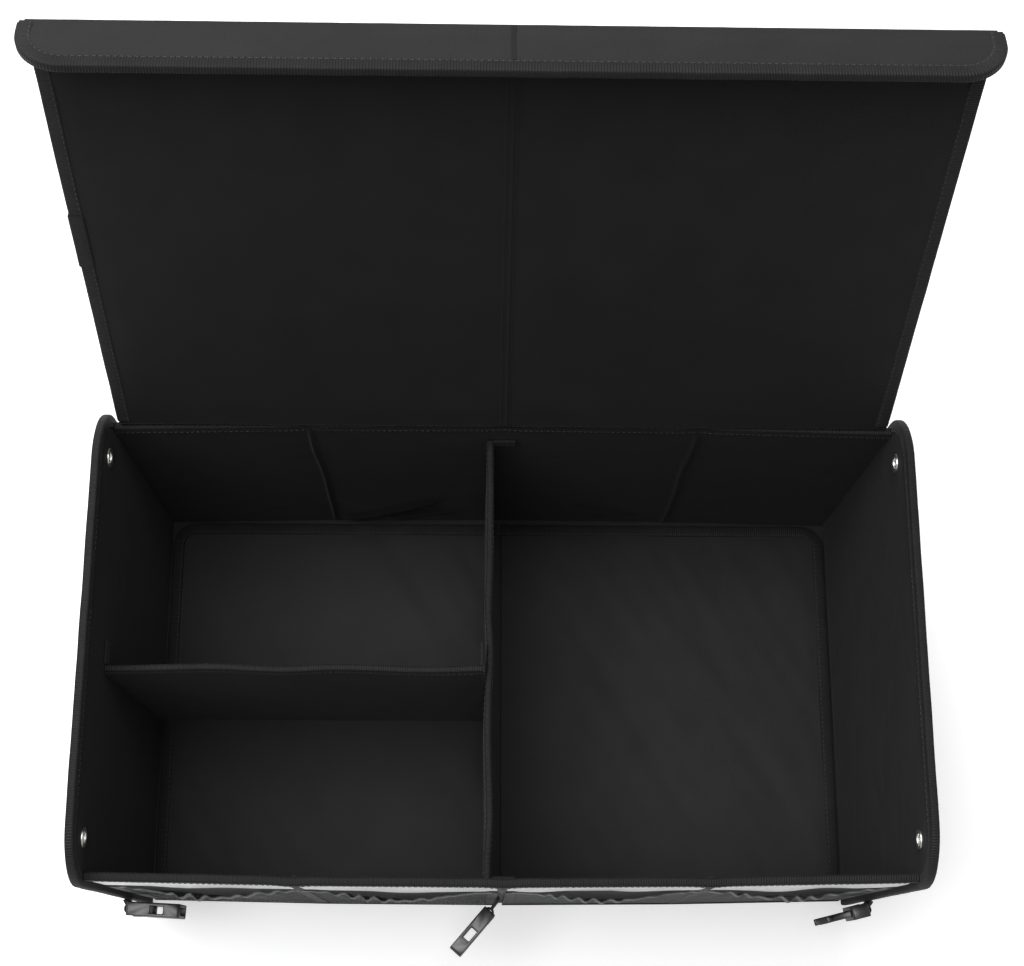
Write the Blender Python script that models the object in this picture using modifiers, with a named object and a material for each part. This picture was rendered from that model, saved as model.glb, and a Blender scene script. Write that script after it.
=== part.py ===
"""Foldable fabric car organizer: a stiff sewn box with a hinged lid, base panels, dividers and mesh pockets.

Metres, +Z up. The box stands on the plane z = 0 and its long side runs along X. The wall with the
pockets faces -Y, and the lid stands open behind the back wall.
"""
import math

import bmesh
import bpy
from mathutils import Matrix, Vector

NAME = "car_organizer"

# Box
INNER_WIDTH = 0.600
INNER_DEPTH = 0.332
WALL_HEIGHT = 0.280
SIDE_HEIGHT = 0.320
SIDE_CORNER = 0.042
SIDE_MARGIN = 0.009      # side panel's edge beyond the inner face of the front and back walls
WALL_BOW = 0.004         # outward bow of the front and back walls at mid-length

# Sewn layers
CLOTH = 0.0006
BOARD = 0.0026
BOTTOM_CLOTH = 0.0008
BINDING = 0.0007
BINDING_LEG = 0.0095
CLEARANCE = 0.0003
SEAM_ALLOWANCE = 0.004   # from a panel's edge to its board

# Base panels
BASE_CLEARANCE = 0.003
BASE_OUTER_CORNER = 0.020
BASE_CENTRE_GAP = 0.004

# Dividers
CENTRE_DIVIDER_X = -0.0108
CENTRE_DIVIDER_BELOW_WALL = 0.030
CROSS_DIVIDER_Y = -0.0148
CROSS_DIVIDER_BELOW_WALL = 0.020
TAB_REACH = 0.020
TAB_THICKNESS = 0.0012

# Eyelets
EYELET_BORE = 0.0045
EYELET_BARREL = 0.0006
EYELET_FLANGE = 0.0074
EYELET_LIP = 0.0009
EYELET_BELOW_TOP = 0.036
EYELET_FROM_WALL = 0.0245

# Outside of the front wall
STRIP_HEIGHT = 0.048
STRIP_THICKNESS = 0.0005
STRIP_BELOW_BINDING = 0.001
POCKET_BELOW_STRIP = 0.0075
POCKET_FOOT = 0.004
POCKET_BULGE = 0.008
POCKET_NET = 0.0009
POCKET_MARGIN = 0.007

# Lid and lip
LID_BACK_INSET = 0.0065    # lid's edge inside the side panel's inner face, at the hinge
LID_FRONT_INSET = 0.003    # the same at the lip's fold
LID_OPEN_ANGLE = 115.0
LID_BEYOND_WALL = 0.0185   # fold of the lip in front of the front wall's inner face
LID_AIR = 0.0008           # air between the closed lid and the wall bindings
LID_SEAM = 0.006
HINGE_FROM_WALL = 0.0042   # hinge line behind the back wall's inner face
TAPE_WIDTH = 0.009
TAPE_THICKNESS = 0.0005
LIP_BEYOND_LID = 0.003
LIP_REACH = 0.042
LIP_CORNER = 0.030
LIP_FOLD_ANGLE = 95.0

# Buckles and their webbing
WEBBING_WIDTH = 0.025
WEBBING_THICKNESS = 0.0012
BUCKLE_HEIGHT = 0.100
BUCKLE_WIDTH = 0.034
BUCKLE_LENGTH = 0.043
BUCKLE_THICKNESS = 0.011
BUCKLE_BAR = 0.0017
BUCKLE_ARM = 0.0038
BUCKLE_CORNER = 0.0025
SLOT_LENGTH = 0.0072
SLOT_ROOM = 0.0006         # from the webbing's edge to the slot's end
SOCKET_DEPTH = 0.026
SOCKET_OPENING = 0.0062
WINDOW_LENGTH = 0.0104
WINDOW_FROM_END = 0.0135
PRONG_THICKNESS = 0.0052
PRONG_WIDTH = 0.0042
PRONG_ROOT = 0.004         # solid part of the fork beyond the frame
FRAME_LIP = 0.002          # how far the frame covers the fork
BARB = 0.003               # how far a barb stands out from its arm
BARB_FROM_END = 0.011
BARB_LENGTH = 0.008
BARB_TIP = 0.0012
GUIDE_FROM_END = 0.006
LEFT_BUCKLE_INSET = 0.0047       # bar towards the middle from the side panel's own middle
RIGHT_BUCKLE_INSET = 0.0057
OUTER_BUCKLE_DISTANCE = 0.0077   # bar in front of the side panel's binding
CENTRE_BUCKLE_X = -0.0090
CENTRE_BUCKLE_DISTANCE = 0.01186 # bar in front of the front wall
LEFT_BUCKLE_HEADING = -3.0       # degrees from +X
CENTRE_BUCKLE_HEADING = 229.0
RIGHT_BUCKLE_HEADING = 194.0

ARC_STEPS = 6
ROUND_STEPS = 20

# Worked out from the values above
LAYER = 2 * CLOTH + BOARD + 2 * CLEARANCE
HALF_WIDTH = INNER_WIDTH / 2
HALF_DEPTH = INNER_DEPTH / 2
EDGE = CLEARANCE + BINDING                      # how far a binding stands proud of its panel
SEAMS = (-HALF_WIDTH, -HALF_WIDTH / 2, 0.0, HALF_WIDTH / 2, HALF_WIDTH)
WALL_FOOT = BOTTOM_CLOTH + CLEARANCE
WALL_END = HALF_WIDTH - EDGE - CLEARANCE
SIDE_EDGE = HALF_DEPTH + SIDE_MARGIN
BASE_FOOT = WALL_FOOT + EDGE
BASE_TOP = BASE_FOOT + LAYER
DIVIDER_FOOT = BASE_TOP + EDGE + CLEARANCE
BINDING_TOP = WALL_HEIGHT + EDGE
LID_BACK_WIDTH = INNER_WIDTH - 2 * LID_BACK_INSET
LID_FRONT_WIDTH = INNER_WIDTH - 2 * LID_FRONT_INSET
LIP_WIDTH = LID_FRONT_WIDTH + 2 * LIP_BEYOND_LID
HINGE_Y = HALF_DEPTH + HINGE_FROM_WALL
HINGE_Z = BINDING_TOP + LID_AIR + EDGE + LAYER / 2
LID_LENGTH = HINGE_Y + HALF_DEPTH + LID_BEYOND_WALL
FOLD_TANGENT = math.tan(math.radians(LIP_FOLD_ANGLE / 2))
ROLL = LAYER / 2                                # rolled cloth at the hinge and at the lip's fold
PANEL_ROOM = max(ROLL, ROLL * FOLD_TANGENT) + CLEARANCE
BINDING_ROOM = (ROLL + EDGE) * max(1.0, FOLD_TANGENT) + CLEARANCE
STRIP_TOP = WALL_HEIGHT - BINDING_LEG - STRIP_BELOW_BINDING
POCKET_TOP = STRIP_TOP - STRIP_HEIGHT - POCKET_BELOW_STRIP
CENTRE_DIVIDER_TOP = WALL_HEIGHT - CENTRE_DIVIDER_BELOW_WALL
CROSS_DIVIDER_TOP = WALL_HEIGHT - CROSS_DIVIDER_BELOW_WALL
SLOT_WIDTH = WEBBING_WIDTH + 2 * SLOT_ROOM
RING_INNER = math.sqrt(2) * BUCKLE_BAR + 2 * CLEARANCE


def collection(name):
    made = bpy.data.collections.new(name)
    bpy.context.scene.collection.children.link(made)
    return made


def material(name, colour, roughness, metallic=0.0):
    made = bpy.data.materials.new(name)
    made.use_nodes = True
    shader = made.node_tree.nodes["Principled BSDF"]
    shader.inputs["Base Color"].default_value = (*colour, 1.0)
    shader.inputs["Roughness"].default_value = roughness
    shader.inputs["Metallic"].default_value = metallic
    made.diffuse_color = (*colour, 1.0)
    return made


LOOKS = {
    "cloth": ((0.013, 0.013, 0.014), 0.85, 0.0),
    "lining": ((0.012, 0.012, 0.013), 0.80, 0.0),
    "board": ((0.060, 0.058, 0.055), 0.70, 0.0),
    "binding": ((0.016, 0.016, 0.017), 0.75, 0.0),
    "webbing": ((0.010, 0.010, 0.010), 0.80, 0.0),
    "net": ((0.050, 0.050, 0.052), 0.70, 0.0),
    "reflective": ((0.700, 0.710, 0.720), 0.35, 0.0),
    "plastic": ((0.014, 0.014, 0.015), 0.45, 0.0),
    "nickel": ((0.620, 0.610, 0.590), 0.25, 1.0),
}


def finish(thing, look, parent=None):
    """Give an object its own material, its parent and its place in the part's collection."""
    colour, roughness, metallic = LOOKS[look]
    thing.data.materials.clear()
    thing.data.materials.append(material(f"{thing.name}_{look}", colour, roughness, metallic))
    PARTS.objects.link(thing)
    if parent is not None:
        thing.parent = parent
    return thing


def flat_curve(name, outlines, closed=True):
    """2D curve with one poly spline for each outline."""
    curve = bpy.data.curves.new(name, "CURVE")
    curve.dimensions = "2D"
    for outline in outlines:
        spline = curve.splines.new("POLY")
        spline.points.add(len(outline) - 1)
        for point, (x, y) in zip(spline.points, outline):
            point.co = (x, y, 0.0, 1.0)
        spline.use_cyclic_u = closed
    return curve


def mesh_from_curve(name, curve):
    """Welded mesh object of a curve, with its faces pointing out."""
    holder = bpy.data.objects.new(f"{name}_curve", curve)
    GUIDES.objects.link(holder)
    bpy.context.view_layer.update()
    graph = bpy.context.evaluated_depsgraph_get()
    mesh = bpy.data.meshes.new_from_object(holder.evaluated_get(graph))
    mesh.name = name
    work = bmesh.new()
    work.from_mesh(mesh)
    bmesh.ops.remove_doubles(work, verts=work.verts, dist=0.00001)
    bmesh.ops.recalc_face_normals(work, faces=work.faces)
    work.to_mesh(mesh)
    work.free()
    bpy.data.objects.remove(holder, do_unlink=True)
    return bpy.data.objects.new(name, mesh)


def plate(name, outlines, thickness, location=(0, 0, 0), rotation=(0, 0, 0)):
    """Flat outline, with holes if there are more outlines, thickened evenly about its plane."""
    curve = flat_curve(name, outlines)
    curve.fill_mode = "BOTH"
    curve.extrude = thickness / 2
    made = mesh_from_curve(name, curve)
    made.location = location
    made.rotation_euler = rotation
    return made


def swept(name, path, profile, location=(0, 0, 0), rotation=(0, 0, 0)):
    """Closed profile run along an open path. The profile's +x lies to the right of the path."""
    guide = bpy.data.objects.new(f"{name}_profile", flat_curve(f"{name}_profile", [profile]))
    guide.data.fill_mode = "NONE"
    GUIDES.objects.link(guide)
    curve = flat_curve(name, [path], closed=False)
    curve.bevel_mode = "OBJECT"
    curve.bevel_object = guide
    curve.use_fill_caps = True
    made = mesh_from_curve(name, curve)
    bpy.data.objects.remove(guide, do_unlink=True)
    made.location = location
    made.rotation_euler = rotation
    return made


def box(name, size, location=(0, 0, 0), rotation=(0, 0, 0)):
    mesh = bpy.data.meshes.new(name)
    work = bmesh.new()
    bmesh.ops.create_cube(work, size=1.0)
    bmesh.ops.scale(work, vec=size, verts=work.verts)
    work.to_mesh(mesh)
    work.free()
    made = bpy.data.objects.new(name, mesh)
    made.location = location
    made.rotation_euler = rotation
    return made


def cylinder(name, radius, height, location=(0, 0, 0), rotation=(0, 0, 0), steps=ROUND_STEPS):
    mesh = bpy.data.meshes.new(name)
    work = bmesh.new()
    bmesh.ops.create_cone(work, cap_ends=True, segments=steps, radius1=radius, radius2=radius, depth=height)
    work.to_mesh(mesh)
    work.free()
    made = bpy.data.objects.new(name, mesh)
    made.location = location
    made.rotation_euler = rotation
    return made


def combine(target, tool, operation):
    """Exact Boolean with a hidden wire object, kept as a modifier."""
    tool.hide_render = True
    tool.display_type = "WIRE"
    CUTTERS.objects.link(tool)
    step = target.modifiers.new(f"{operation.lower()}_{tool.name}", "BOOLEAN")
    step.operation = operation
    step.solver = "EXACT"
    step.object = tool
    return target


def arc(centre_x, centre_y, radius, start, end, steps=ARC_STEPS):
    """Points on an arc, angles in degrees."""
    points = []
    for index in range(steps + 1):
        angle = math.radians(start + (end - start) * index / steps)
        points.append((centre_x + radius * math.cos(angle), centre_y + radius * math.sin(angle)))
    return points


def channel_profile(leg=BINDING_LEG, half=LAYER / 2 + CLEARANCE):
    """Folded ribbon around a panel's edge: +x points away from the panel."""
    outer = half + BINDING
    return [(-leg, outer), (EDGE, outer), (EDGE, -outer), (-leg, -outer),
            (-leg, -half), (CLEARANCE, -half), (CLEARANCE, half), (-leg, half)]


def hood_profile(leg=BINDING_LEG, half=LAYER / 2 + CLEARANCE):
    """The same ribbon with its open side down, for a level edge that runs along its own plan line."""
    return [(y, x) for x, y in channel_profile(leg, half)]


# Walls

def bow(x):
    """Outward bow of the front and back walls, straight between the fold seams."""
    heights = [WALL_BOW * (1 - (seam / HALF_WIDTH) ** 2) for seam in SEAMS]
    for left, right, low, high in zip(SEAMS, SEAMS[1:], heights, heights[1:]):
        if left <= x <= right:
            return low + (high - low) * (x - left) / (right - left)
    return 0.0


def wall_line(side, x, offset):
    """Y of a layer's face, offset outward from the wall's inner face."""
    return side * (HALF_DEPTH + bow(x) + offset)


def wall_stations(start, end):
    return [start] + [seam for seam in SEAMS if start < seam < end] + [end]


def wall_outline(side, start, end, near, far):
    """Plan outline of a wall layer between two offsets."""
    stations = wall_stations(start, end)
    inner = [(x, wall_line(side, x, near)) for x in stations]
    outer = [(x, wall_line(side, x, far)) for x in reversed(stations)]
    return inner + outer


def wall_layer(name, side, start, end, near, far, foot, top, look):
    outline = wall_outline(side, start, end, near, far)
    made = plate(name, [outline], top - foot, location=(0, 0, (foot + top) / 2))
    return finish(made, look)


def build_wall(label, side):
    board_near = CLOTH + CLEARANCE
    wall_layer(f"{label}_lining", side, -WALL_END, WALL_END, 0.0, CLOTH, WALL_FOOT, WALL_HEIGHT, "lining")
    wall_layer(f"{label}_outer", side, -WALL_END, WALL_END, LAYER - CLOTH, LAYER, WALL_FOOT, WALL_HEIGHT, "cloth")
    for index, (left, right) in enumerate(zip(SEAMS, SEAMS[1:]), start=1):
        start = max(left, -WALL_END) + SEAM_ALLOWANCE
        end = min(right, WALL_END) - SEAM_ALLOWANCE
        wall_layer(f"{label}_board_{index}", side, start, end, board_near, board_near + BOARD,
                   WALL_FOOT + SEAM_ALLOWANCE, WALL_HEIGHT - CLEARANCE, "board")
    path = [(x, wall_line(side, x, LAYER / 2)) for x in wall_stations(-WALL_END, WALL_END)]
    finish(swept(f"{label}_binding", path, hood_profile(), location=(0, 0, WALL_HEIGHT)), "binding")


# Side panels

def side_path(inset=0.0):
    """From the front foot up, over the top and down to the back foot, in the (y, z) plane."""
    reach = SIDE_EDGE - inset
    top = SIDE_HEIGHT - inset
    radius = SIDE_CORNER - inset
    foot = WALL_FOOT + inset
    over_front = arc(-reach + radius, top - radius, radius, 180, 90)
    over_back = arc(reach - radius, top - radius, radius, 90, 0)
    return [(-reach, foot)] + over_front + over_back + [(reach, foot)]


def eyelet_places():
    height = SIDE_HEIGHT - EYELET_BELOW_TOP
    reach = HALF_DEPTH - EYELET_FROM_WALL
    return (("front", -reach, height), ("back", reach, height))


# turns a flat outline so that its x runs along Y, its y along Z and its thickness along X
UPRIGHT = Matrix(((0, 0, 1), (1, 0, 0), (0, 1, 0))).to_euler()
ALONG_X = (0, math.radians(90), 0)


def build_side(label, side):
    layers = (("lining", 0.0, CLOTH, 0.0, "lining"),
              ("board", CLOTH + CLEARANCE, BOARD, SEAM_ALLOWANCE, "board"),
              ("outer", LAYER - CLOTH, CLOTH, 0.0, "cloth"))
    for part, near, thickness, inset, look in layers:
        x = side * (HALF_WIDTH + near + thickness / 2)
        made = plate(f"{label}_{part}", [side_path(inset)], thickness, location=(x, 0, 0), rotation=UPRIGHT)
        finish(made, look)
        for where, y, z in eyelet_places():
            hole = cylinder(f"{label}_{part}_{where}_hole", EYELET_BORE + EYELET_BARREL + CLEARANCE, 4 * LAYER,
                            location=(x, y, z), rotation=ALONG_X)
            combine(made, hole, "DIFFERENCE")
    middle = side * (HALF_WIDTH + LAYER / 2)
    path = list(reversed(side_path()))
    finish(swept(f"{label}_binding", path, channel_profile(), location=(middle, 0, 0), rotation=UPRIGHT), "binding")
    for where, y, z in eyelet_places():
        build_eyelet(f"eyelet_{label}_{where}", (middle, y, z))


def build_eyelet(name, location):
    """Pressed metal ring: a barrel through the panel with a flange on each face."""
    half = LAYER / 2 + CLEARANCE
    barrel = EYELET_BORE + EYELET_BARREL
    chamfer = EYELET_LIP / 2
    section = [(EYELET_BORE, half + chamfer), (EYELET_BORE + chamfer, half + EYELET_LIP),
               (EYELET_FLANGE - chamfer, half + EYELET_LIP), (EYELET_FLANGE, half + chamfer),
               (EYELET_FLANGE, half), (barrel, half)]
    section += [(radius, -height) for radius, height in reversed(section)]
    mesh = bpy.data.meshes.new(name)
    work = bmesh.new()
    verts = [work.verts.new((radius, 0.0, height)) for radius, height in section]
    for first, second in zip(verts, verts[1:] + verts[:1]):
        work.edges.new((first, second))
    bmesh.ops.spin(work, geom=work.verts[:] + work.edges[:], cent=(0, 0, 0), axis=(0, 0, 1),
                   angle=math.tau, steps=ROUND_STEPS, use_merge=True)
    bmesh.ops.remove_doubles(work, verts=work.verts, dist=0.00001)
    bmesh.ops.recalc_face_normals(work, faces=work.faces)
    work.to_mesh(mesh)
    work.free()
    mesh.shade_smooth()
    mesh.set_sharp_from_angle(angle=math.radians(40))
    made = bpy.data.objects.new(name, mesh)
    made.location = location
    made.rotation_euler = ALONG_X
    finish(made, "nickel")


# Floor

def build_bottom():
    """One cloth under the walls, with the same bow at the front and the back."""
    reach = HALF_WIDTH + LAYER
    stations = [-reach] + list(SEAMS) + [reach]
    front = [(x, wall_line(-1, x, LAYER)) for x in stations]
    back = [(x, wall_line(1, x, LAYER)) for x in reversed(stations)]
    made = plate("bottom_cloth", [front + back], BOTTOM_CLOTH, location=(0, 0, BOTTOM_CLOTH / 2))
    finish(made, "cloth")


def base_path(inset=0.0):
    """Three outer sides of the right base panel, from the front of its centre edge round to the back."""
    inner = BASE_CENTRE_GAP / 2
    reach = HALF_WIDTH - BASE_CLEARANCE - inset
    depth = HALF_DEPTH - BASE_CLEARANCE - inset
    radius = BASE_OUTER_CORNER - inset
    front = arc(reach - radius, -depth + radius, radius, -90, 0)
    back = arc(reach - radius, depth - radius, radius, 0, 90)
    return [(inner, -depth)] + front + back + [(inner, depth)]


def mirrored(points, side):
    """The same run of points for the other half, still with the panel on its left."""
    if side > 0:
        return points
    return [(-x, y) for x, y in reversed(points)]


def build_base(label, side):
    middle = BASE_FOOT + LAYER / 2
    inner = BASE_CENTRE_GAP / 2
    cover = plate(f"base_{label}_cover", [mirrored(base_path(), side)], LAYER, location=(0, 0, middle))
    finish(cover, "cloth")
    hollow_start = inner + CLOTH
    hollow_end = HALF_WIDTH
    hollow = box(f"base_{label}_hollow", (hollow_end - hollow_start, INNER_DEPTH, LAYER - 2 * CLOTH),
                 location=(side * (hollow_start + hollow_end) / 2, 0, middle))
    combine(cover, hollow, "DIFFERENCE")
    outline = base_path(SEAM_ALLOWANCE)
    start = hollow_start + CLEARANCE
    outline[0] = (start, outline[0][1])
    outline[-1] = (start, outline[-1][1])
    board = plate(f"base_{label}_board", [mirrored(outline, side)], BOARD, location=(0, 0, middle))
    finish(board, "board")
    binding = swept(f"base_{label}_binding", mirrored(base_path(), side), channel_profile(),
                    location=(0, 0, middle))
    finish(binding, "binding")


# Dividers

def divider_outlines(length, tab_side):
    """Plan of a cloth sleeve along x with a turned tab at each end, and the hollow for its board."""
    half = LAYER / 2
    hollow = half - CLOTH
    start, end = 0.0, length
    tab = half + TAB_REACH
    outer = [(start, -half), (end, -half), (end, tab), (end - TAB_THICKNESS, tab),
             (end - TAB_THICKNESS, half), (start + TAB_THICKNESS, half), (start + TAB_THICKNESS, tab),
             (start, tab)]
    inside = [(start + TAB_THICKNESS, -hollow), (end - TAB_THICKNESS, -hollow),
              (end - TAB_THICKNESS, hollow), (start + TAB_THICKNESS, hollow)]
    return [[(x, y * tab_side) for x, y in outer], [(x, y * tab_side) for x, y in inside]]


def build_divider(label, start, end, top, tab_side):
    """Divider from one plan point to another, standing on the base panels."""
    run = Vector(end) - Vector(start)
    turn = math.atan2(run.y, run.x)
    height = top - DIVIDER_FOOT
    middle = (DIVIDER_FOOT + top) / 2
    cover = plate(f"{label}_cover", divider_outlines(run.length, tab_side), height,
                  location=(start[0], start[1], middle), rotation=(0, 0, turn))
    finish(cover, "cloth")
    inset = TAB_THICKNESS + CLEARANCE
    centre = (Vector(start) + Vector(end)) / 2
    board = box(f"{label}_board", (run.length - 2 * inset, BOARD, height - CLEARANCE),
                location=(centre.x, centre.y, middle - CLEARANCE / 2), rotation=(0, 0, turn))
    finish(board, "board")
    path = [(inset, 0.0), (run.length - inset, 0.0)]
    binding = swept(f"{label}_binding", path, hood_profile(), location=(start[0], start[1], top),
                    rotation=(0, 0, turn))
    finish(binding, "binding")


def build_dividers():
    half = LAYER / 2
    tab_end = CENTRE_DIVIDER_X + half + TAB_REACH
    reach = HALF_DEPTH + min(bow(CENTRE_DIVIDER_X - half), bow(tab_end)) - CLEARANCE
    build_divider("centre_divider", (CENTRE_DIVIDER_X, -reach), (CENTRE_DIVIDER_X, reach),
                  CENTRE_DIVIDER_TOP, -1)
    build_divider("cross_divider", (-HALF_WIDTH + CLEARANCE, CROSS_DIVIDER_Y),
                  (CENTRE_DIVIDER_X - half - EDGE - CLEARANCE, CROSS_DIVIDER_Y), CROSS_DIVIDER_TOP, 1)


# Front wall's outside

def build_strip():
    start = -WALL_END + SEAM_ALLOWANCE
    near = LAYER + CLEARANCE
    wall_layer("reflective_strip", -1, start, -start, near, near + STRIP_THICKNESS,
               STRIP_TOP - STRIP_HEIGHT, STRIP_TOP, "reflective")


def build_pocket(label, side):
    """Net pocket in two bays: flat on the wall at its foot, sides and middle seam, gathered out at the hem."""
    bays = ((POCKET_MARGIN, HALF_WIDTH / 2), (HALF_WIDTH / 2, WALL_END - POCKET_MARGIN))
    columns, rows = 8, 5
    mesh = bpy.data.meshes.new(f"pocket_{label}")
    work = bmesh.new()
    grid = []
    for bay, (start, end) in enumerate(bays):
        for column in range(columns + 1):
            if bay and column == 0:
                continue
            share = column / columns
            x = side * (start + (end - start) * share)
            swell = POCKET_BULGE * math.sin(math.pi * share) ** 2
            strip = []
            for row in range(rows + 1):
                rise = row / rows
                y = wall_line(-1, x, LAYER + CLEARANCE) - swell * rise ** 2
                strip.append(work.verts.new((x, y, POCKET_FOOT + (POCKET_TOP - POCKET_FOOT) * rise)))
            grid.append(strip)
    for left, right in zip(grid, grid[1:]):
        for row in range(rows):
            work.faces.new((left[row], right[row], right[row + 1], left[row + 1]))
    if side < 0:
        bmesh.ops.reverse_faces(work, faces=work.faces)
    work.to_mesh(mesh)
    work.free()
    made = bpy.data.objects.new(f"pocket_{label}", mesh)
    shell = made.modifiers.new("net_thickness", "SOLIDIFY")
    shell.thickness = POCKET_NET
    shell.offset = 1.0
    finish(made, "net")


# Lid and lip, modelled closed in the frame of their hinge empties and then turned open

def hinge(name, location, angle, parent=None):
    made = bpy.data.objects.new(name, None)
    made.empty_display_size = 0.03
    PARTS.objects.link(made)
    made.parent = parent
    made.location = location
    made.rotation_euler = (math.radians(angle), 0, 0)
    return made


def lid_half_width(distance):
    """The lid widens slightly from its hinge to its fold."""
    share = distance / LID_LENGTH
    return (LID_BACK_WIDTH + (LID_FRONT_WIDTH - LID_BACK_WIDTH) * share) / 2


def lid_outline(start, end, inset=0.0, centre=None):
    """Lid, or its right half beyond the centre seam, between two distances from the hinge."""
    near, far = lid_half_width(start) - inset, lid_half_width(end) - inset
    if centre is None:
        return [(-near, -start), (near, -start), (far, -end), (-far, -end)]
    return [(centre, -start), (near, -start), (far, -end), (centre, -end)]


def build_lid():
    axis = hinge("lid_axis", (0, HINGE_Y, HINGE_Z), -LID_OPEN_ANGLE)
    start, end = PANEL_ROOM, LID_LENGTH - PANEL_ROOM
    cloth_level = (LAYER - CLOTH) / 2
    whole = [lid_outline(start, end)]
    finish(plate("lid_outer", whole, CLOTH, location=(0, 0, cloth_level)), "cloth", axis)
    finish(plate("lid_lining", whole, CLOTH, location=(0, 0, -cloth_level)), "lining", axis)
    half = lid_outline(start + SEAM_ALLOWANCE, end - SEAM_ALLOWANCE, SEAM_ALLOWANCE, LID_SEAM / 2)
    for label, side in (("left", -1), ("right", 1)):
        outline = [(side * x, y) for x, y in half]
        finish(plate(f"lid_board_{label}", [outline], BOARD), "board", axis)
        first, last = BINDING_ROOM, LID_LENGTH - BINDING_ROOM
        path = [(side * lid_half_width(first), -first), (side * lid_half_width(last), -last)]
        if side > 0:
            path.reverse()
        finish(swept(f"lid_binding_{label}", path, channel_profile()), "binding", axis)
    tape = box("lid_centre_tape", (TAPE_WIDTH, end - start, TAPE_THICKNESS),
               location=(0, -(start + end) / 2, -LAYER / 2 - CLEARANCE - TAPE_THICKNESS / 2))
    finish(tape, "binding", axis)
    build_lip(axis)


def build_hinge_strip():
    """Folded cloth strip on the back wall's binding, with a rolled top that the lid turns about."""
    foot = BINDING_TOP + CLEARANCE
    strip = box("hinge_strip", (LID_BACK_WIDTH, 2 * CLOTH, HINGE_Z - foot),
                location=(0, HINGE_Y, (foot + HINGE_Z) / 2))
    finish(strip, "cloth")
    roll = cylinder("hinge_strip_roll", ROLL, LID_BACK_WIDTH, location=(0, HINGE_Y, HINGE_Z),
                    rotation=ALONG_X, steps=12)
    combine(strip, roll, "UNION")


def lip_path(inset=0.0, start=PANEL_ROOM):
    """Two short sides and the free edge of the lip, with the lip on the left of the run."""
    half = LIP_WIDTH / 2 - inset
    reach = LIP_REACH - inset
    radius = LIP_CORNER - inset
    left = arc(-half + radius, -reach + radius, radius, 180, 270)
    right = arc(half - radius, -reach + radius, radius, 270, 360)
    return [(-half, -start)] + left + right + [(half, -start)]


def build_lip(lid_axis):
    axis = hinge("lip_axis", (0, -LID_LENGTH, 0), LIP_FOLD_ANGLE, lid_axis)
    cover = plate("lip_cover", [lip_path()], LAYER)
    finish(cover, "cloth", axis)
    hollow_end = PANEL_ROOM + CLOTH
    depth = LIP_REACH
    hollow = box("lip_hollow", (2 * LIP_WIDTH, depth, LAYER - 2 * CLOTH),
                 location=(0, -hollow_end - depth / 2, 0))
    hollow.parent = axis
    combine(cover, hollow, "DIFFERENCE")
    roll = cylinder("lip_roll", ROLL, LID_FRONT_WIDTH, rotation=ALONG_X, steps=12)
    roll.parent = axis
    neck_depth = PANEL_ROOM + CLOTH / 2
    neck = box("lip_neck", (LID_FRONT_WIDTH, neck_depth, 2 * CLOTH), location=(0, -neck_depth / 2, 0))
    neck.parent = axis
    combine(cover, neck, "UNION")
    combine(cover, roll, "UNION")
    outline = lip_path(SEAM_ALLOWANCE, hollow_end + CLEARANCE)
    finish(plate("lip_board", [outline], BOARD), "board", axis)
    path = lip_path(start=BINDING_ROOM)
    finish(swept("lip_binding", path, channel_profile()), "binding", axis)


# Webbing and buckles. A buckle's outline lies in the plane of its length (x) and its width (y).

FLAT_TO_UPRIGHT = math.radians(90)


def buckle_axis(name, place):
    x, y, heading = place
    made = bpy.data.objects.new(name, None)
    made.empty_display_size = 0.02
    PARTS.objects.link(made)
    made.location = (x, y, BUCKLE_HEIGHT)
    made.rotation_euler = (0, 0, math.radians(heading))
    return made


def rounded(start_x, end_x, half, radius_start, radius_end, steps=3):
    """Rounded rectangle, with one radius at its start and one at its end."""
    return (arc(end_x - radius_end, half - radius_end, radius_end, 0, 90, steps)
            + arc(start_x + radius_start, half - radius_start, radius_start, 90, 180, steps)
            + arc(start_x + radius_start, -half + radius_start, radius_start, 180, 270, steps)
            + arc(end_x - radius_end, -half + radius_end, radius_end, 270, 360, steps))


def bar_slot():
    """Gap beside the bar for the webbing."""
    return [(BUCKLE_BAR, -SLOT_WIDTH / 2), (SLOT_LENGTH, -SLOT_WIDTH / 2),
            (SLOT_LENGTH, SLOT_WIDTH / 2), (BUCKLE_BAR, SLOT_WIDTH / 2)]


def build_socket(name, place):
    """Socket half: bar and slot, a mouth for the prongs and a window through both edges."""
    axis = buckle_axis(f"{name}_axis", place)
    start = -BUCKLE_BAR
    end = start + BUCKLE_LENGTH
    outline = rounded(start, end, BUCKLE_WIDTH / 2, BUCKLE_BAR, BUCKLE_CORNER)
    body = plate(name, [outline, bar_slot()], BUCKLE_THICKNESS, rotation=(FLAT_TO_UPRIGHT, 0, 0))
    finish(body, "plastic", axis)
    inner_half = BUCKLE_WIDTH / 2 - BUCKLE_ARM
    cuts = (("mouth", (2 * SOCKET_DEPTH, SOCKET_OPENING, 2 * inner_half), (end, 0, 0)),
            ("window", (WINDOW_LENGTH, SOCKET_OPENING, 2 * BUCKLE_WIDTH),
             (end - WINDOW_FROM_END - WINDOW_LENGTH / 2, 0, 0)),
            ("bar_front", (4 * BUCKLE_BAR, BUCKLE_THICKNESS, SLOT_WIDTH),
             (0, -BUCKLE_BAR - BUCKLE_THICKNESS / 2, 0)),
            ("bar_back", (4 * BUCKLE_BAR, BUCKLE_THICKNESS, SLOT_WIDTH),
             (0, BUCKLE_BAR + BUCKLE_THICKNESS / 2, 0)))
    for part, size, location in cuts:
        cutter = box(f"{name}_{part}", size, location=location)
        cutter.parent = axis
        combine(body, cutter, "DIFFERENCE")


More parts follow.
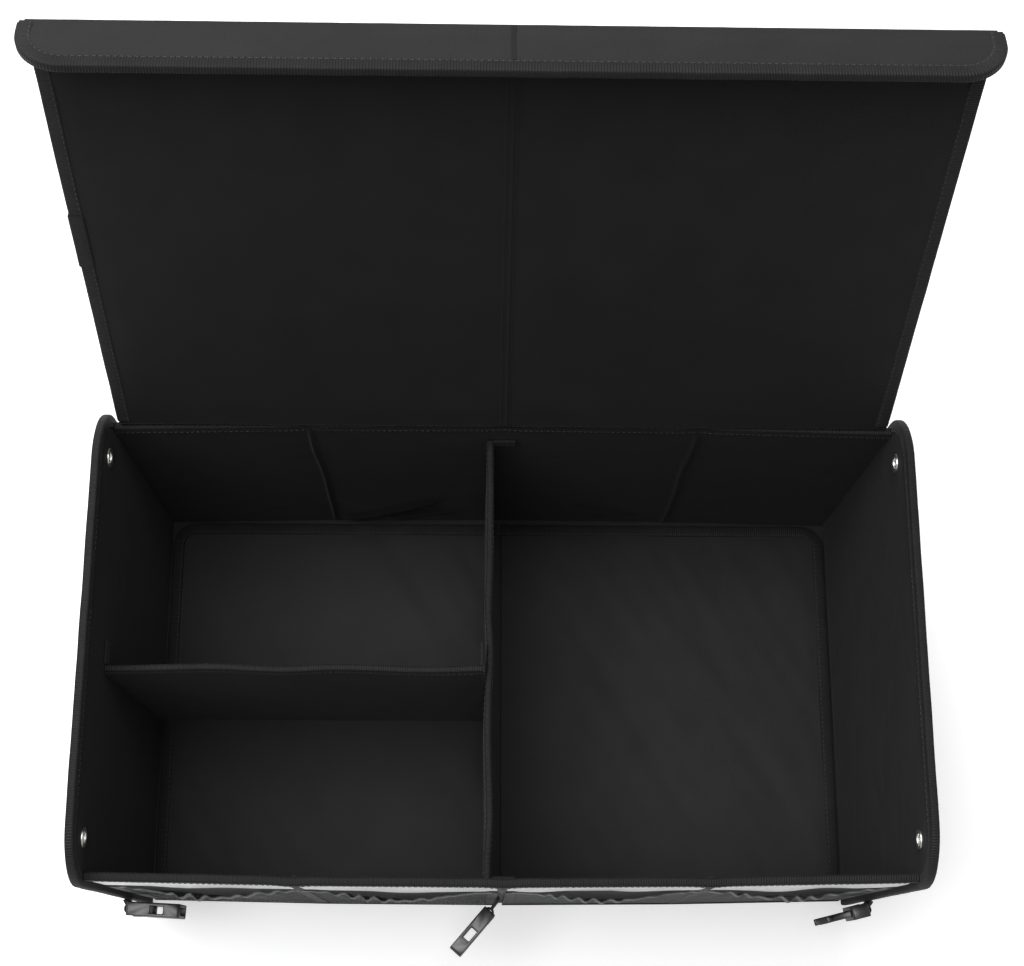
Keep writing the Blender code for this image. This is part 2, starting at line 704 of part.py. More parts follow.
def prong_outline(end):
    """Two arms with barbed ends and a middle guide on a common root."""
    root = SLOT_LENGTH + BUCKLE_ARM
    base = root + PRONG_ROOT
    outer = BUCKLE_WIDTH / 2 - BUCKLE_ARM - 2 * CLEARANCE
    barb = outer + BARB
    inner = outer - PRONG_WIDTH
    guide = PRONG_WIDTH / 2
    shoulder = end - BARB_FROM_END
    upper = [(root, outer), (shoulder - FRAME_LIP, outer), (shoulder, barb), (end - BARB_LENGTH, barb),
             (end - BARB_TIP, inner + BARB_TIP), (end - 2 * BARB_TIP, inner), (base, inner), (base, guide),
             (end - GUIDE_FROM_END, guide)]
    return upper + [(x, -y) for x, y in reversed(upper)]


def build_prong(name, place):
    """Prong half: bar and slot in a frame, with two spring arms and a guide."""
    axis = buckle_axis(f"{name}_axis", place)
    start = -BUCKLE_BAR
    end = start + BUCKLE_LENGTH
    frame_end = SLOT_LENGTH + BUCKLE_ARM + FRAME_LIP
    outline = rounded(start, frame_end, BUCKLE_WIDTH / 2, BUCKLE_BAR, BUCKLE_CORNER)
    body = plate(name, [outline, bar_slot()], BUCKLE_THICKNESS, rotation=(FLAT_TO_UPRIGHT, 0, 0))
    finish(body, "plastic", axis)
    for part, side in (("bar_front", -1), ("bar_back", 1)):
        cutter = box(f"{name}_{part}", (4 * BUCKLE_BAR, BUCKLE_THICKNESS, SLOT_WIDTH),
                     location=(0, side * (BUCKLE_BAR + BUCKLE_THICKNESS / 2), 0))
        cutter.parent = axis
        combine(body, cutter, "DIFFERENCE")
    fork = plate(f"{name}_fork", [prong_outline(end)], PRONG_THICKNESS, rotation=(FLAT_TO_UPRIGHT, 0, 0))
    fork.parent = axis
    combine(body, fork, "UNION")


def build_webbing(name, place, root):
    """Sewn webbing loop around the bar, with its tail running to its root on the box."""
    x, y, heading = place
    ring_outer = RING_INNER + WEBBING_THICKNESS
    run = Vector(root) - Vector((x, y))
    turn = math.atan2(run.y, run.x)
    tail = run.length - WEBBING_THICKNESS * abs(run.x / run.y)
    half = math.degrees(math.asin(WEBBING_THICKNESS / ring_outer))
    outer = arc(0, 0, ring_outer, half, 360 - half, ROUND_STEPS)
    outline = [(tail, WEBBING_THICKNESS)] + outer + [(tail, -WEBBING_THICKNESS)]
    hole = arc(0, 0, RING_INNER, 0, 360 - 360 / ROUND_STEPS, ROUND_STEPS - 1)
    made = plate(name, [outline, hole], WEBBING_WIDTH, location=(x, y, BUCKLE_HEIGHT), rotation=(0, 0, turn))
    finish(made, "webbing")


def build_buckles():
    side_middle = HALF_WIDTH + LAYER / 2
    side_face = -SIDE_EDGE - EDGE - CLEARANCE
    wall_face = wall_line(-1, CENTRE_BUCKLE_X, LAYER) - CLEARANCE
    left = (-side_middle + LEFT_BUCKLE_INSET, side_face - OUTER_BUCKLE_DISTANCE, LEFT_BUCKLE_HEADING)
    centre = (CENTRE_BUCKLE_X, wall_face - CENTRE_BUCKLE_DISTANCE, CENTRE_BUCKLE_HEADING)
    right = (side_middle - RIGHT_BUCKLE_INSET, side_face - OUTER_BUCKLE_DISTANCE, RIGHT_BUCKLE_HEADING)
    build_socket("buckle_left_socket", left)
    build_webbing("webbing_left", left, (-side_middle, side_face))
    build_socket("buckle_centre_socket", centre)
    build_webbing("webbing_centre", centre, (0.0, wall_face))
    build_prong("buckle_right_prong", right)
    build_webbing("webbing_right", right, (side_middle, side_face))


def build():
    build_bottom()
    for label, side in (("left", -1), ("right", 1)):
        build_side(label, side)
        build_base(label, side)
        build_pocket(label, side)
    build_wall("front", -1)
    build_wall("back", 1)
    build_dividers()
    build_strip()
    build_hinge_strip()
    build_lid()
    build_buckles()


for old in list(bpy.data.objects):
    bpy.data.objects.remove(old, do_unlink=True)
PARTS = collection(NAME)
CUTTERS = collection(f"{NAME}_cutters")
GUIDES = collection(f"{NAME}_guides")
build()
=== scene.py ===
"""Looks of a foldable fabric car organizer: sewn cloth, ribbed ribbon, net pockets, webbing and buckles."""

import math

import bmesh
import bpy
from mathutils import Euler, Matrix, Vector, noise

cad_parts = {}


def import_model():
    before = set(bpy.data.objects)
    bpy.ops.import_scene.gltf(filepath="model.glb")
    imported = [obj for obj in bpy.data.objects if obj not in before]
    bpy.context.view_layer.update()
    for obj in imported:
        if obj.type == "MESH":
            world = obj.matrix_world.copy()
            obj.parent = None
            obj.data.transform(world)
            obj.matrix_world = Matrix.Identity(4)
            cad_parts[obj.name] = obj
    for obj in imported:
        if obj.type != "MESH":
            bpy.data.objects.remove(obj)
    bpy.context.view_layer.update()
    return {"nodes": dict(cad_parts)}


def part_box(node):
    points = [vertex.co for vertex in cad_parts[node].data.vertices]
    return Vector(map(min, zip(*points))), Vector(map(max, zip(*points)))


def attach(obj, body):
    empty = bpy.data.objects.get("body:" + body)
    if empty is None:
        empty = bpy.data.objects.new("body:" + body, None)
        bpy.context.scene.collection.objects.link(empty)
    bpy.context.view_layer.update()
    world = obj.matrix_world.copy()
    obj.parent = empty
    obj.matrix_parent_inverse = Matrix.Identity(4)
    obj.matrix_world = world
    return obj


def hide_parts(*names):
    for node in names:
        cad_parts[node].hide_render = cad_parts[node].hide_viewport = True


bl_info = {
    "name": "Car organizer looks",
    "version": (1, 0, 0),
    "blender": (4, 5, 0),
    "location": "3D View > Sidebar > Organizer",
    "description": "Dresses the fixed frame of a foldable fabric car organizer",
    "category": "Object",
}

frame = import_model()

# The photo's camera, as fitted, and the light
IMAGE_WIDTH = 1024
SENSOR_WIDTH = 36.0
FOCAL_PIXELS = 1718.04
CAMERA_PLACE = (-0.0196, -0.2396, 1.5372)
CAMERA_TURNS = ((0.40, "Z"), (16.1594, "X"), (-1.2298, "Y"))
SOFTBOXES = (("key_softbox", (-0.55, 0.15, 2.7), 2.0, 89.0), ("back_softbox", (-0.9, 1.7, 2.3), 1.6, 37.0))
LIGHT_AIM = Vector((0, 0, 0.15))
FLOOR_SIZE = 8.0
FLOOR_NEAR = 0.7             # distance where the floor starts to glow more
FLOOR_FAR = 2.6              # distance where it glows white
FLOOR_GLOW = 0.42            # strength of the glow nearer than that
ROOM_LIGHT = 0.22            # strength of the white room, as light on matt surfaces
ROOM_MIRRORED = 0.40         # more of it in reflections
ROOM_SEEN = 0.78             # more of it behind the object

# Sizes of the fixed frame, in metres
HALF_WIDTH = 0.300           # inner face of a side panel
HALF_DEPTH = 0.166           # inner face of the front and back walls, at their ends
PANEL = 0.0044               # cloth, board and lining together
CLOTH = 0.0006               # thickness
EDGE = 0.001                 # how far an edge ribbon stands proud
LEG = 0.0095                 # how far it reaches over the panel
RIBBON_SIDE = 0.0010         # from the panel's face to the ribbon's face
BOTTOM = 0.0008              # thickness of the bottom cloth
FOOT = 0.0011                # height of the walls' and side panels' lower edges
WALL_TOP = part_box("front_lining")[1].z
WALL_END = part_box("front_lining")[1].x
WALL_BOW = 0.004             # how far a wall's middle seam stands out
SIDE_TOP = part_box("left_lining")[1].z
SIDE_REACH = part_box("left_lining")[1].y
SIDE_CORNER = 0.042
BASE_TOP = 0.0065
BASE_GAP = 0.002             # from the middle to each base panel
BASE_REACH_X = HALF_WIDTH - 0.003
BASE_REACH_Y = HALF_DEPTH - 0.003
BASE_CORNER = 0.020
LID_OPEN = 115.0             # degrees
LID_LENGTH = 0.3547          # from the hinge line to the fold line
FOLD_ROOM = 0.0012           # from the hinge or fold line to the cloth beside it
ROLL = 0.0017                # radius of the rolled cloth at a fold line
LID_HALF_BACK = 0.2935
LID_HALF_FRONT = 0.2970
HINGE = Vector((0.0, 0.1702, 0.2850))
LIP_FOLD = 95.0              # degrees
LIP_HALF = 0.300
LIP_REACH = 0.042
LIP_CORNER = 0.030
CENTRE_X = -0.0108
CENTRE_TOP = 0.250
CENTRE_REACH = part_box("centre_divider_cover")[1].y
CROSS_Y = -0.0148
CROSS_TOP = 0.260
CROSS_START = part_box("cross_divider_cover")[0].x
CROSS_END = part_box("cross_divider_cover")[1].x
DIVIDER_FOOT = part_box("centre_divider_cover")[0].z
TAB_REACH = 0.020
TAB = 0.0011                 # thickness of a divider's end tab
STRIP_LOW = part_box("reflective_strip")[0].z
STRIP_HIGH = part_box("reflective_strip")[1].z
POCKET_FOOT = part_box("pocket_left")[0].z
POCKET_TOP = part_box("pocket_left")[1].z
POCKET_BULGE = 0.0068
NET_GAP = 0.0010             # from the front wall's face to the net
NET_LOOSE = 0.0012           # how far its strands wander
GATHER = 0.0125              # spacing of its gathers
GATHER_HEIGHT = 0.0016
HEM = 0.012                  # width of the elastic hem
HEM_FULLNESS = 1.12          # its flat length for each metre of mouth
POCKET_TAPE = 0.004          # half width of the tape beside the net
BAYS = ((0.007, 0.150), (0.150, 0.2917))      # of each net pocket, from the middle outwards
EYELET_Y = 0.1415
EYELET_Z = 0.284
EYELET_BORE = 0.0045
EYELET_WALL = 0.0006
EYELET_FLANGE = 0.0074
SEAMS = (-0.300, -0.150, 0.0, 0.150, 0.300)   # ends and fold seams of the front and back walls
SIDES = (("left", -1), ("right", 1))
ENDS = (("front", -1), ("back", 1))


# Colours and node helpers

def linear(code):
    """sRGB hex code as linear red, green and blue."""
    values = [int(code[i:i + 2], 16) / 255 for i in (1, 3, 5)]
    return tuple(v / 12.92 if v <= 0.04045 else ((v + 0.055) / 1.055) ** 2.4 for v in values)


def add(tree, kind, settings=None, inputs=None):
    """Adds a node. Its inputs are values, sockets, or nodes whose first output they take."""
    made = tree.nodes.new(kind)
    for key, value in (settings or {}).items():
        setattr(made, key, value)
    for key, value in (inputs or {}).items():
        named = (socket for socket in made.inputs if socket.name == key and socket.enabled)
        socket = made.inputs[key] if isinstance(key, int) else next(named)
        if isinstance(value, bpy.types.Node):
            value = value.outputs[0]
        if isinstance(value, bpy.types.NodeSocket):
            tree.links.new(value, socket)
        else:
            socket.default_value = value
    return made


def math_node(tree, operation, *values):
    return add(tree, "ShaderNodeMath", {"operation": operation}, dict(enumerate(values))).outputs[0]


def vector_math(tree, operation, inputs, result=0):
    return add(tree, "ShaderNodeVectorMath", {"operation": operation}, inputs).outputs[result]


def lumps(tree, vector, size, detail, **inputs):
    """Noise from 0 to 1 with lumps about size metres wide."""
    given = {"Vector": vector, "Scale": 1 / size, "Detail": detail, **inputs}
    return add(tree, "ShaderNodeTexNoise", None, given).outputs["Fac"]


def mapped(tree, value, low, high, to_low, to_high):
    return add(tree, "ShaderNodeMapRange", None, {"Value": value, "From Min": low, "From Max": high,
                                                  "To Min": to_low, "To Max": to_high}).outputs[0]


# Materials

def start_material(name, colour, roughness, **constants):
    """Material with its shader's constants set, its tree, its shader and its object coordinates."""
    made = bpy.data.materials.new(name)
    made.use_nodes = True
    shader = made.node_tree.nodes["Principled BSDF"]
    shader.inputs["Base Color"].default_value = (*colour, 1.0)
    shader.inputs["Roughness"].default_value = roughness
    for key, value in constants.items():
        shader.inputs[key.replace("_", " ")].default_value = value
    made.diffuse_color = (*colour, 1.0)
    place = add(made.node_tree, "ShaderNodeTexCoord").outputs["Object"]
    return made, made.node_tree, shader, place


def mottled(tree, shader, vector, colour, size, spread):
    """Slow change of the base colour between darker and lighter patches about size metres wide."""
    ramp = add(tree, "ShaderNodeValToRGB", None, {"Fac": lumps(tree, vector, size, 3.0)})
    for end, position, share in zip(ramp.color_ramp.elements, (0.3, 0.7), (1 - spread, 1 + spread)):
        end.position = position
        end.color = (*[min(1.0, c * share) for c in colour], 1.0)
    tree.links.new(ramp.outputs["Color"], shader.inputs["Base Color"])
    return ramp.outputs["Color"]


def shaded(tree, shader, tint, factor, **settings):
    """Base colour mixed from a tint and a second colour, whose socket it returns."""
    mix = add(tree, "ShaderNodeMix", {"data_type": "RGBA", **settings}, {"Factor": factor, 6: tint})
    tree.links.new(mix.outputs[2], shader.inputs["Base Color"])
    return mix.inputs[7]


def grey(tree, level):
    return add(tree, "ShaderNodeCombineColor", None, {"Red": level, "Green": level, "Blue": level}).outputs[0]


def wave(tree, vector, spacing, direction):
    """Sine bands from 0 to 1, spacing metres apart."""
    return add(tree, "ShaderNodeTexWave", {"bands_direction": direction},
               {"Vector": vector, "Scale": math.pi / (10 * spacing)}).outputs["Fac"]


def band(tree, value, spacing):
    """Height from 0 to 1 that repeats once in each spacing of a coordinate in metres."""
    return wave(tree, add(tree, "ShaderNodeCombineXYZ", None, {"X": value}), spacing, "X")


def weave(tree, vector, spacing):
    """Plain weave: warp over weft and weft over warp in turn."""
    parts = add(tree, "ShaderNodeSeparateXYZ", None, {0: vector}).outputs
    warp, weft = (math_node(tree, "SUBTRACT", band(tree, part, spacing), 0.5) for part in parts[:2])
    return math_node(tree, "MULTIPLY_ADD", warp, weft, 0.5)


def raise_surface(tree, shader, *layers):
    """Chain of bumps, each a height and its depth in metres."""
    normal = {}
    for height, depth in layers:
        given = {"Height": height, "Distance": depth, "Strength": 1.0, **normal}
        normal = {"Normal": add(tree, "ShaderNodeBump", None, given).outputs["Normal"]}
    tree.links.new(normal["Normal"], shader.inputs["Normal"])


def woven_cloth(name, colour, roughness, spacing, depth, sheen, crumple):
    """Woven polyester on a sheet's own UV map, in metres: a thread grid with slubs and soft crumples."""
    made, tree, shader, place = start_material(name, colour, roughness, Sheen_Weight=sheen,
                                               Sheen_Roughness=0.45, Specular_IOR_Level=0.14, IOR=1.5)
    plane = add(tree, "ShaderNodeUVMap", {"uv_map": "UVMap"}).outputs["UV"]
    mottled(tree, shader, place, colour, 0.035, 0.10)
    drawn_out = add(tree, "ShaderNodeMapping", None, {"Vector": plane, "Scale": (1 / 0.0011, 1 / 0.012, 1.0)})
    slubs = lumps(tree, drawn_out, 1.0, 1.0)
    crumples = lumps(tree, place, 0.045, 3.0, Roughness=0.5, Distortion=0.5)
    raise_surface(tree, shader, (crumples, crumple), (slubs, depth * 0.6),
                  (weave(tree, plane, spacing), depth))
    return made


def ribbed_ribbon(name, colour, spacing):
    """Grosgrain edge ribbon: cross ribs that follow the ribbon's run, drawn coarse so that they show, with
    painted shade in the grooves between them.
    """
    made, tree, shader, place = start_material(name, colour, 0.62, Sheen_Weight=0.045, Sheen_Roughness=0.4,
                                               Specular_IOR_Level=0.18, IOR=1.5)
    run = add(tree, "ShaderNodeAttribute", {"attribute_name": "run"}).outputs["Fac"]
    ribs = band(tree, run, spacing)
    tint = mottled(tree, shader, place, colour, 0.02, 0.18)
    # painted shade: the base colour is multiplied darker in the grooves between the ribs
    tree.links.new(grey(tree, ribs), shaded(tree, shader, tint, 0.25, blend_type="MULTIPLY"))
    raise_surface(tree, shader, (ribs, 0.00035), (lumps(tree, place, 0.0012, 2.0), 0.0001))
    return made


def woven_webbing(name, colour):
    """Polypropylene webbing: coarse slanted ribs with a slight plastic shine."""
    made, tree, shader, place = start_material(name, colour, 0.48, Sheen_Weight=0.05, Specular_IOR_Level=0.4,
                                               IOR=1.49)
    x, y, z = add(tree, "ShaderNodeSeparateXYZ", None, {0: place}).outputs
    twill = math_node(tree, "ADD", z, math_node(tree, "ADD", x, y))
    mottled(tree, shader, place, colour, 0.004, 0.25)
    raise_surface(tree, shader, (band(tree, twill, 0.0016), 0.0002), (band(tree, z, 0.0024), 0.00025))
    return made


def plain_fibre(name, colour, roughness):
    """Twisted polyester fibre, as in the net's strands and the sewing thread."""
    made, tree, shader, place = start_material(name, colour, roughness, Sheen_Weight=0.1,
                                               Specular_IOR_Level=0.35, IOR=1.5)
    mottled(tree, shader, place, colour, 0.006, 0.2)
    raise_surface(tree, shader, (wave(tree, place, 0.0007, "DIAGONAL"), 0.00006))
    return made


def reflective_tape(name, colour):
    """Glass-bead reflective tape: silver film with a fine pressed lattice and soft creases."""
    made, tree, shader, place = start_material(name, colour, 0.34, Metallic=0.08, Specular_IOR_Level=0.7)
    plane = add(tree, "ShaderNodeUVMap", {"uv_map": "UVMap"}).outputs["UV"]
    tint = mottled(tree, shader, place, colour, 0.03, 0.05)
    turned = add(tree, "ShaderNodeMapping", None, {"Vector": plane, "Rotation": (0.0, 0.0, math.pi / 4)})
    lattice = weave(tree, turned, 0.0028)
    cells = grey(tree, mapped(tree, lattice, 0.3, 0.7, 0.80, 1.0))
    tree.links.new(cells, shaded(tree, shader, tint, 1.0, blend_type="MULTIPLY"))
    raise_surface(tree, shader, (lumps(tree, place, 0.02, 3.0), 0.0012), (lattice, 0.00012))
    return made


def moulded_plastic(name, colour):
    """Injection-moulded acetal: fine spark-eroded grain, base colour lighter on convex edges."""
    made, tree, shader, place = start_material(name, colour, 0.32, Specular_IOR_Level=0.6, IOR=1.48)
    tint = mottled(tree, shader, place, colour, 0.01, 0.12)
    convex_edges = add(tree, "ShaderNodeNewGeometry").outputs["Pointiness"]
    # base colour mixed up to half way towards a lighter tint where Pointiness marks convex edges
    rim = shaded(tree, shader, tint, mapped(tree, convex_edges, 0.52, 0.60, 0.0, 0.5))
    rim.default_value = (*[c * 2.5 for c in colour], 1.0)
    raise_surface(tree, shader, (lumps(tree, place, 0.0008, 2.0), 0.00005))
    return made


def plated_steel(name, colour):
    """Bright nickel on pressed steel: mirror-like with faint press marks and dull patches."""
    made, tree, shader, place = start_material(name, colour, 0.3, Metallic=1.0)
    patches = lumps(tree, place, 0.002, 3.0)
    mottled(tree, shader, place, colour, 0.003, 0.06)
    tree.links.new(mapped(tree, patches, 0.0, 1.0, 0.20, 0.42), shader.inputs["Roughness"])
    raise_surface(tree, shader, (patches, 0.00003))
    return made


def pressed_board(name, colour):
    """Stiff pressed board inside the panels: fibrous and matt."""
    made, tree, shader, place = start_material(name, colour, 0.8)
    mottled(tree, shader, place, colour, 0.004, 0.25)
    raise_surface(tree, shader, (lumps(tree, place, 0.0015, 4.0), 0.0001))
    return made


MATERIALS = {}


def make_materials(colours, sizes):
    thread = sizes.thread
    MATERIALS.update({
        "cloth": woven_cloth("coated_oxford_polyester", colours.cloth, 0.62, thread, 0.00022, 0.08, 0.0007),
        "lining": woven_cloth("plain_weave_lining", colours.lining, 0.70, thread, 0.00018, 0.03, 0.0010),
        "lid_lining": woven_cloth("smooth_lid_lining", colours.lining, 0.70, thread, 0.00018, 0.03, 0.0003),
        "binding": ribbed_ribbon("grosgrain_ribbon", colours.ribbon, sizes.rib),
        "webbing": woven_webbing("polypropylene_webbing", colours.webbing),
        "net": plain_fibre("knitted_polyester_net", colours.net, 0.6),
        "thread": plain_fibre("spun_polyester_thread", colours.thread, 0.5),
        "reflective": reflective_tape("glass_bead_reflective_tape", colours.tape),
        "plastic": moulded_plastic("moulded_acetal", colours.moulding),
        "nickel": plated_steel("nickel_plated_steel", colours.nickel),
        "board": pressed_board("pressed_hardboard", colours.board),
    })


# Mesh helpers

def own(thing, body, slot, *nodes, look=None):
    """Gives a finished piece its material, picked by slot or look, and its body, and hides the frame nodes
    that it stands for.
    """
    material = MATERIALS[look or slot]
    if not thing.data.materials:
        thing.data.materials.append(material)
    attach(thing, body)
    if nodes:
        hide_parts(*nodes)
    return thing


def link(name, mesh):
    made = bpy.data.objects.new(name, mesh)
    bpy.context.scene.collection.objects.link(made)
    return made


def stations(start, end, cell, corner=0.0):
    """Even steps between start and end, closer together over a rounded corner at each end."""
    inner_start, inner_end = start + corner, end - corner
    count = max(1, round((inner_end - inner_start) / cell))
    middle = [inner_start + (inner_end - inner_start) * i / count for i in range(count + 1)]
    if not corner:
        return middle
    curve = [corner * (1 - math.cos(math.radians(9 * i))) for i in range(10)]
    return [start + c for c in curve] + middle + [end - c for c in reversed(curve)]


def meshed(name, work):
    """Mesh from a finished bmesh, which it frees."""
    mesh = bpy.data.meshes.new(name)
    work.to_mesh(mesh)
    work.free()
    return mesh


def skin(name, across, bounds, world, swell, thickness=CLOTH, cell=0.005):
    """Closed cloth skin over stations across, each with its run bounds(s), standing out by swell(s, t)."""
    runs = [bounds(s) for s in across]
    rows = max(1, round(max(end - start for start, end in runs) / cell))
    work = bmesh.new()
    plane = work.loops.layers.uv.new("UVMap")

    def layer(depth):
        grid = []
        for s, (start, end) in zip(across, runs):
            heights = [start + (end - start) * j / rows for j in range(rows + 1)]
            grid.append([(work.verts.new(world(s, t, swell(s, t) - depth)), (s, t)) for t in heights])
        return grid

    top, under = layer(0.0), layer(thickness)
    strips, steps = range(len(across) - 1), range(rows)
    cells = [(i, i + 1, j, j + 1) for i in strips for j in steps]
    quads = [(top[a][c], top[b][c], top[b][d], top[a][d]) for a, b, c, d in cells]
    quads += [(under[a][d], under[b][d], under[b][c], under[a][c]) for a, b, c, d in cells]
    quads += [(top[i][0], top[i + 1][0], under[i + 1][0], under[i][0]) for i in strips]
    quads += [(top[i + 1][-1], top[i][-1], under[i][-1], under[i + 1][-1]) for i in strips]
    quads += [(top[0][j + 1], top[0][j], under[0][j], under[0][j + 1]) for j in steps]
    quads += [(top[-1][j], top[-1][j + 1], under[-1][j + 1], under[-1][j]) for j in steps]
    for quad in quads:
        made = work.faces.new([vertex for vertex, place in quad])
        made.smooth = True
        for loop, (vertex, place) in zip(made.loops, quad):
            loop[plane].uv = place
    bmesh.ops.recalc_face_normals(work, faces=work.faces)
    mesh = meshed(name, work)
    mesh.set_sharp_from_angle(angle=math.radians(50))
    return link(name, mesh)


def level(s, t):
    return 0.0


def sewn(name, across, bounds, world, swell, wear, flat, rests_on, held="stretched", look=None, **form):
    """Cloth skin dressed as wear says (body, slot, frame nodes). Its flat size and what it rests on are not
    used.
    """
    made = skin(name, across, bounds, world, swell, **form)
    own(made, *wear, look=look)
    return made


def baked(thing):
    """Plain mesh object in place of one with live modifiers."""
    graph = bpy.context.evaluated_depsgraph_get()
    graph.update()
    mesh = bpy.data.meshes.new_from_object(thing.evaluated_get(graph))
    name = thing.name
    source = thing.data
    bpy.data.objects.remove(thing, do_unlink=True)
    if isinstance(source, bpy.types.Curve):
        bpy.data.curves.remove(source)
    mesh.name = name
    return link(name, mesh)


def path_curve(name, paths):
    """3D poly curve with one open spline for each path."""
    curve = bpy.data.curves.new(name, "CURVE")
    curve.dimensions = "3D"
    for path in paths:
        spline = curve.splines.new("POLY")
        spline.points.add(len(path) - 1)
        for point, place in zip(spline.points, path):
            point.co = (*place, 1.0)
    return link(name, curve)


def ripple(s, t, size, seed):
    return noise.noise(Vector((s / size, t / size, seed * 7.31)))


def ease(x):
    x = max(0.0, min(1.0, x))
    return x * x * (3 - 2 * x)


def drawn_in(gap, reach=0.016):
    """0 at a sewn edge, rising to 1 at reach metres from it."""
    return ease(gap / reach)


def ridge(s, t, start, end, width, height):
    """Long narrow fold between two points of a sheet, fading at both ends."""
    ax, ay = start
    bx, by = end
    length = math.hypot(bx - ax, by - ay)
    ux, uy = (bx - ax) / length, (by - ay) / length
    along = (s - ax) * ux + (t - ay) * uy
    if along < 0 or along > length:
        return 0.0
    off = (s - ax) * uy - (t - ay) * ux
    fade = 0.2 * length
    return height * math.exp(-(off / width) ** 2) * ease(along / fade) * ease((length - along) / fade)


def bow(x):
    """Plan line of the front and back walls, straight between their fold seams."""
    x = max(-HALF_WIDTH, min(HALF_WIDTH, x))
    heights = [WALL_BOW * (1 - (seam / HALF_WIDTH) ** 2) for seam in SEAMS]
    for a, b, low, high in zip(SEAMS, SEAMS[1:], heights, heights[1:]):
        if x <= b:
            return low + (high - low) * (x - a) / (b - a)
    return heights[-1]


def front_y(x, out):
    """Y of the front wall's outer face at x, out metres in front of it."""
    return -(HALF_DEPTH + bow(x) + PANEL + out)


def arc(x, y, radius, start, end, steps=10):
    angles = [math.radians(start + (end - start) * i / steps) for i in range(steps + 1)]
    return [(x + radius * math.cos(angle), y + radius * math.sin(angle)) for angle in angles]


def lid_point(x, distance, height):
    """Point of the open lid: distance from the hinge line, height from the lid's middle to its outer side."""
    turned = Euler((-math.radians(LID_OPEN), 0, 0)).to_matrix() @ Vector((x, -distance, height))
    return HINGE + turned


def lip_point(x, distance, height):
    """Point of the folded lip: distance from its fold line."""
    local = Euler((math.radians(LIP_FOLD), 0, 0)).to_matrix() @ Vector((x, -distance, height))
    return lid_point(local.x, LID_LENGTH - local.y, local.z)


def lid_half(distance):
    return LID_HALF_BACK + (LID_HALF_FRONT - LID_HALF_BACK) * distance / LID_LENGTH


# Geometry node trees

def new_tree(name, sockets):
    """Node group with its named inputs, its input node and a function that ends it."""
    tree = bpy.data.node_groups.new(name, "GeometryNodeTree")
    tree.interface.new_socket("Geometry", in_out="INPUT", socket_type="NodeSocketGeometry")
    tree.interface.new_socket("Geometry", in_out="OUTPUT", socket_type="NodeSocketGeometry")
    for label, kind in sockets:
        tree.interface.new_socket(label, in_out="INPUT", socket_type=kind)
    inside = tree.nodes.new("NodeGroupInput")
    return tree, inside.outputs


def end_tree(tree, geometry, material):
    """Realized instances with the material set."""
    real = add(tree, "GeometryNodeRealizeInstances", None, {"Geometry": geometry})
    dressed = add(tree, "GeometryNodeSetMaterial", None, {"Geometry": real, "Material": material})
    add(tree, "NodeGroupOutput", None, {"Geometry": dressed})


def end_swept(tree, curve, section, material):
    """Smooth tube of a section along every curve."""
    tube = add(tree, "GeometryNodeCurveToMesh", None,
               {"Curve": curve, "Profile Curve": section, "Fill Caps": True})
    end_tree(tree, add(tree, "GeometryNodeSetShadeSmooth", None, {0: tube}), material)


FILLET_POINTS = 3
FLOAT, INTEGER = "NodeSocketFloat", "NodeSocketInt"
VECTOR, MATERIAL = "NodeSocketVector", "NodeSocketMaterial"


def ribbon_tree():
    """Folded edge ribbon swept along each path, slightly uneven, with its run stored for the ribs."""
    tree, given = new_tree("folded_ribbon", [
        ("Across", FLOAT), ("Depth", FLOAT), ("Corner", FLOAT), ("Step", FLOAT), ("Wobble", FLOAT),
        ("Wave", FLOAT), ("Seed", FLOAT), ("Normal", VECTOR), ("Material", MATERIAL)])
    even = add(tree, "GeometryNodeResampleCurve", {"mode": "LENGTH"},
               {"Curve": given["Geometry"], "Length": given["Step"]})
    facing = add(tree, "GeometryNodeSetCurveNormal", {"mode": "FREE"},
                 {"Curve": even, "Normal": given["Normal"]})
    run = add(tree, "GeometryNodeSplineParameter").outputs["Length"]
    marked = add(tree, "GeometryNodeStoreNamedAttribute", {"data_type": "FLOAT", "domain": "POINT"},
                 {"Geometry": facing, "Name": "run", "Value": run})
    place = add(tree, "GeometryNodeInputPosition")
    scale = math_node(tree, "DIVIDE", 1.0, given["Wave"])
    wander = add(tree, "ShaderNodeTexNoise", {"noise_dimensions": "4D"},
                 {"Vector": place, "W": given["Seed"], "Scale": scale, "Detail": 2.0})
    centred = vector_math(tree, "SUBTRACT", {0: wander.outputs["Color"], 1: (0.5, 0.5, 0.5)})
    moved = vector_math(tree, "SCALE", {0: centred, "Scale": given["Wobble"]})
    uneven = add(tree, "GeometryNodeSetPosition", None, {"Geometry": marked, "Offset": moved})
    section = add(tree, "GeometryNodeCurvePrimitiveQuadrilateral", {"mode": "RECTANGLE"},
                  {"Width": given["Across"], "Height": given["Depth"]})
    rounded = add(tree, "GeometryNodeFilletCurve", {"mode": "POLY"},
                  {"Curve": section, 1: FILLET_POINTS, "Radius": given["Corner"]})
    end_swept(tree, uneven, rounded, given["Material"])
    return tree


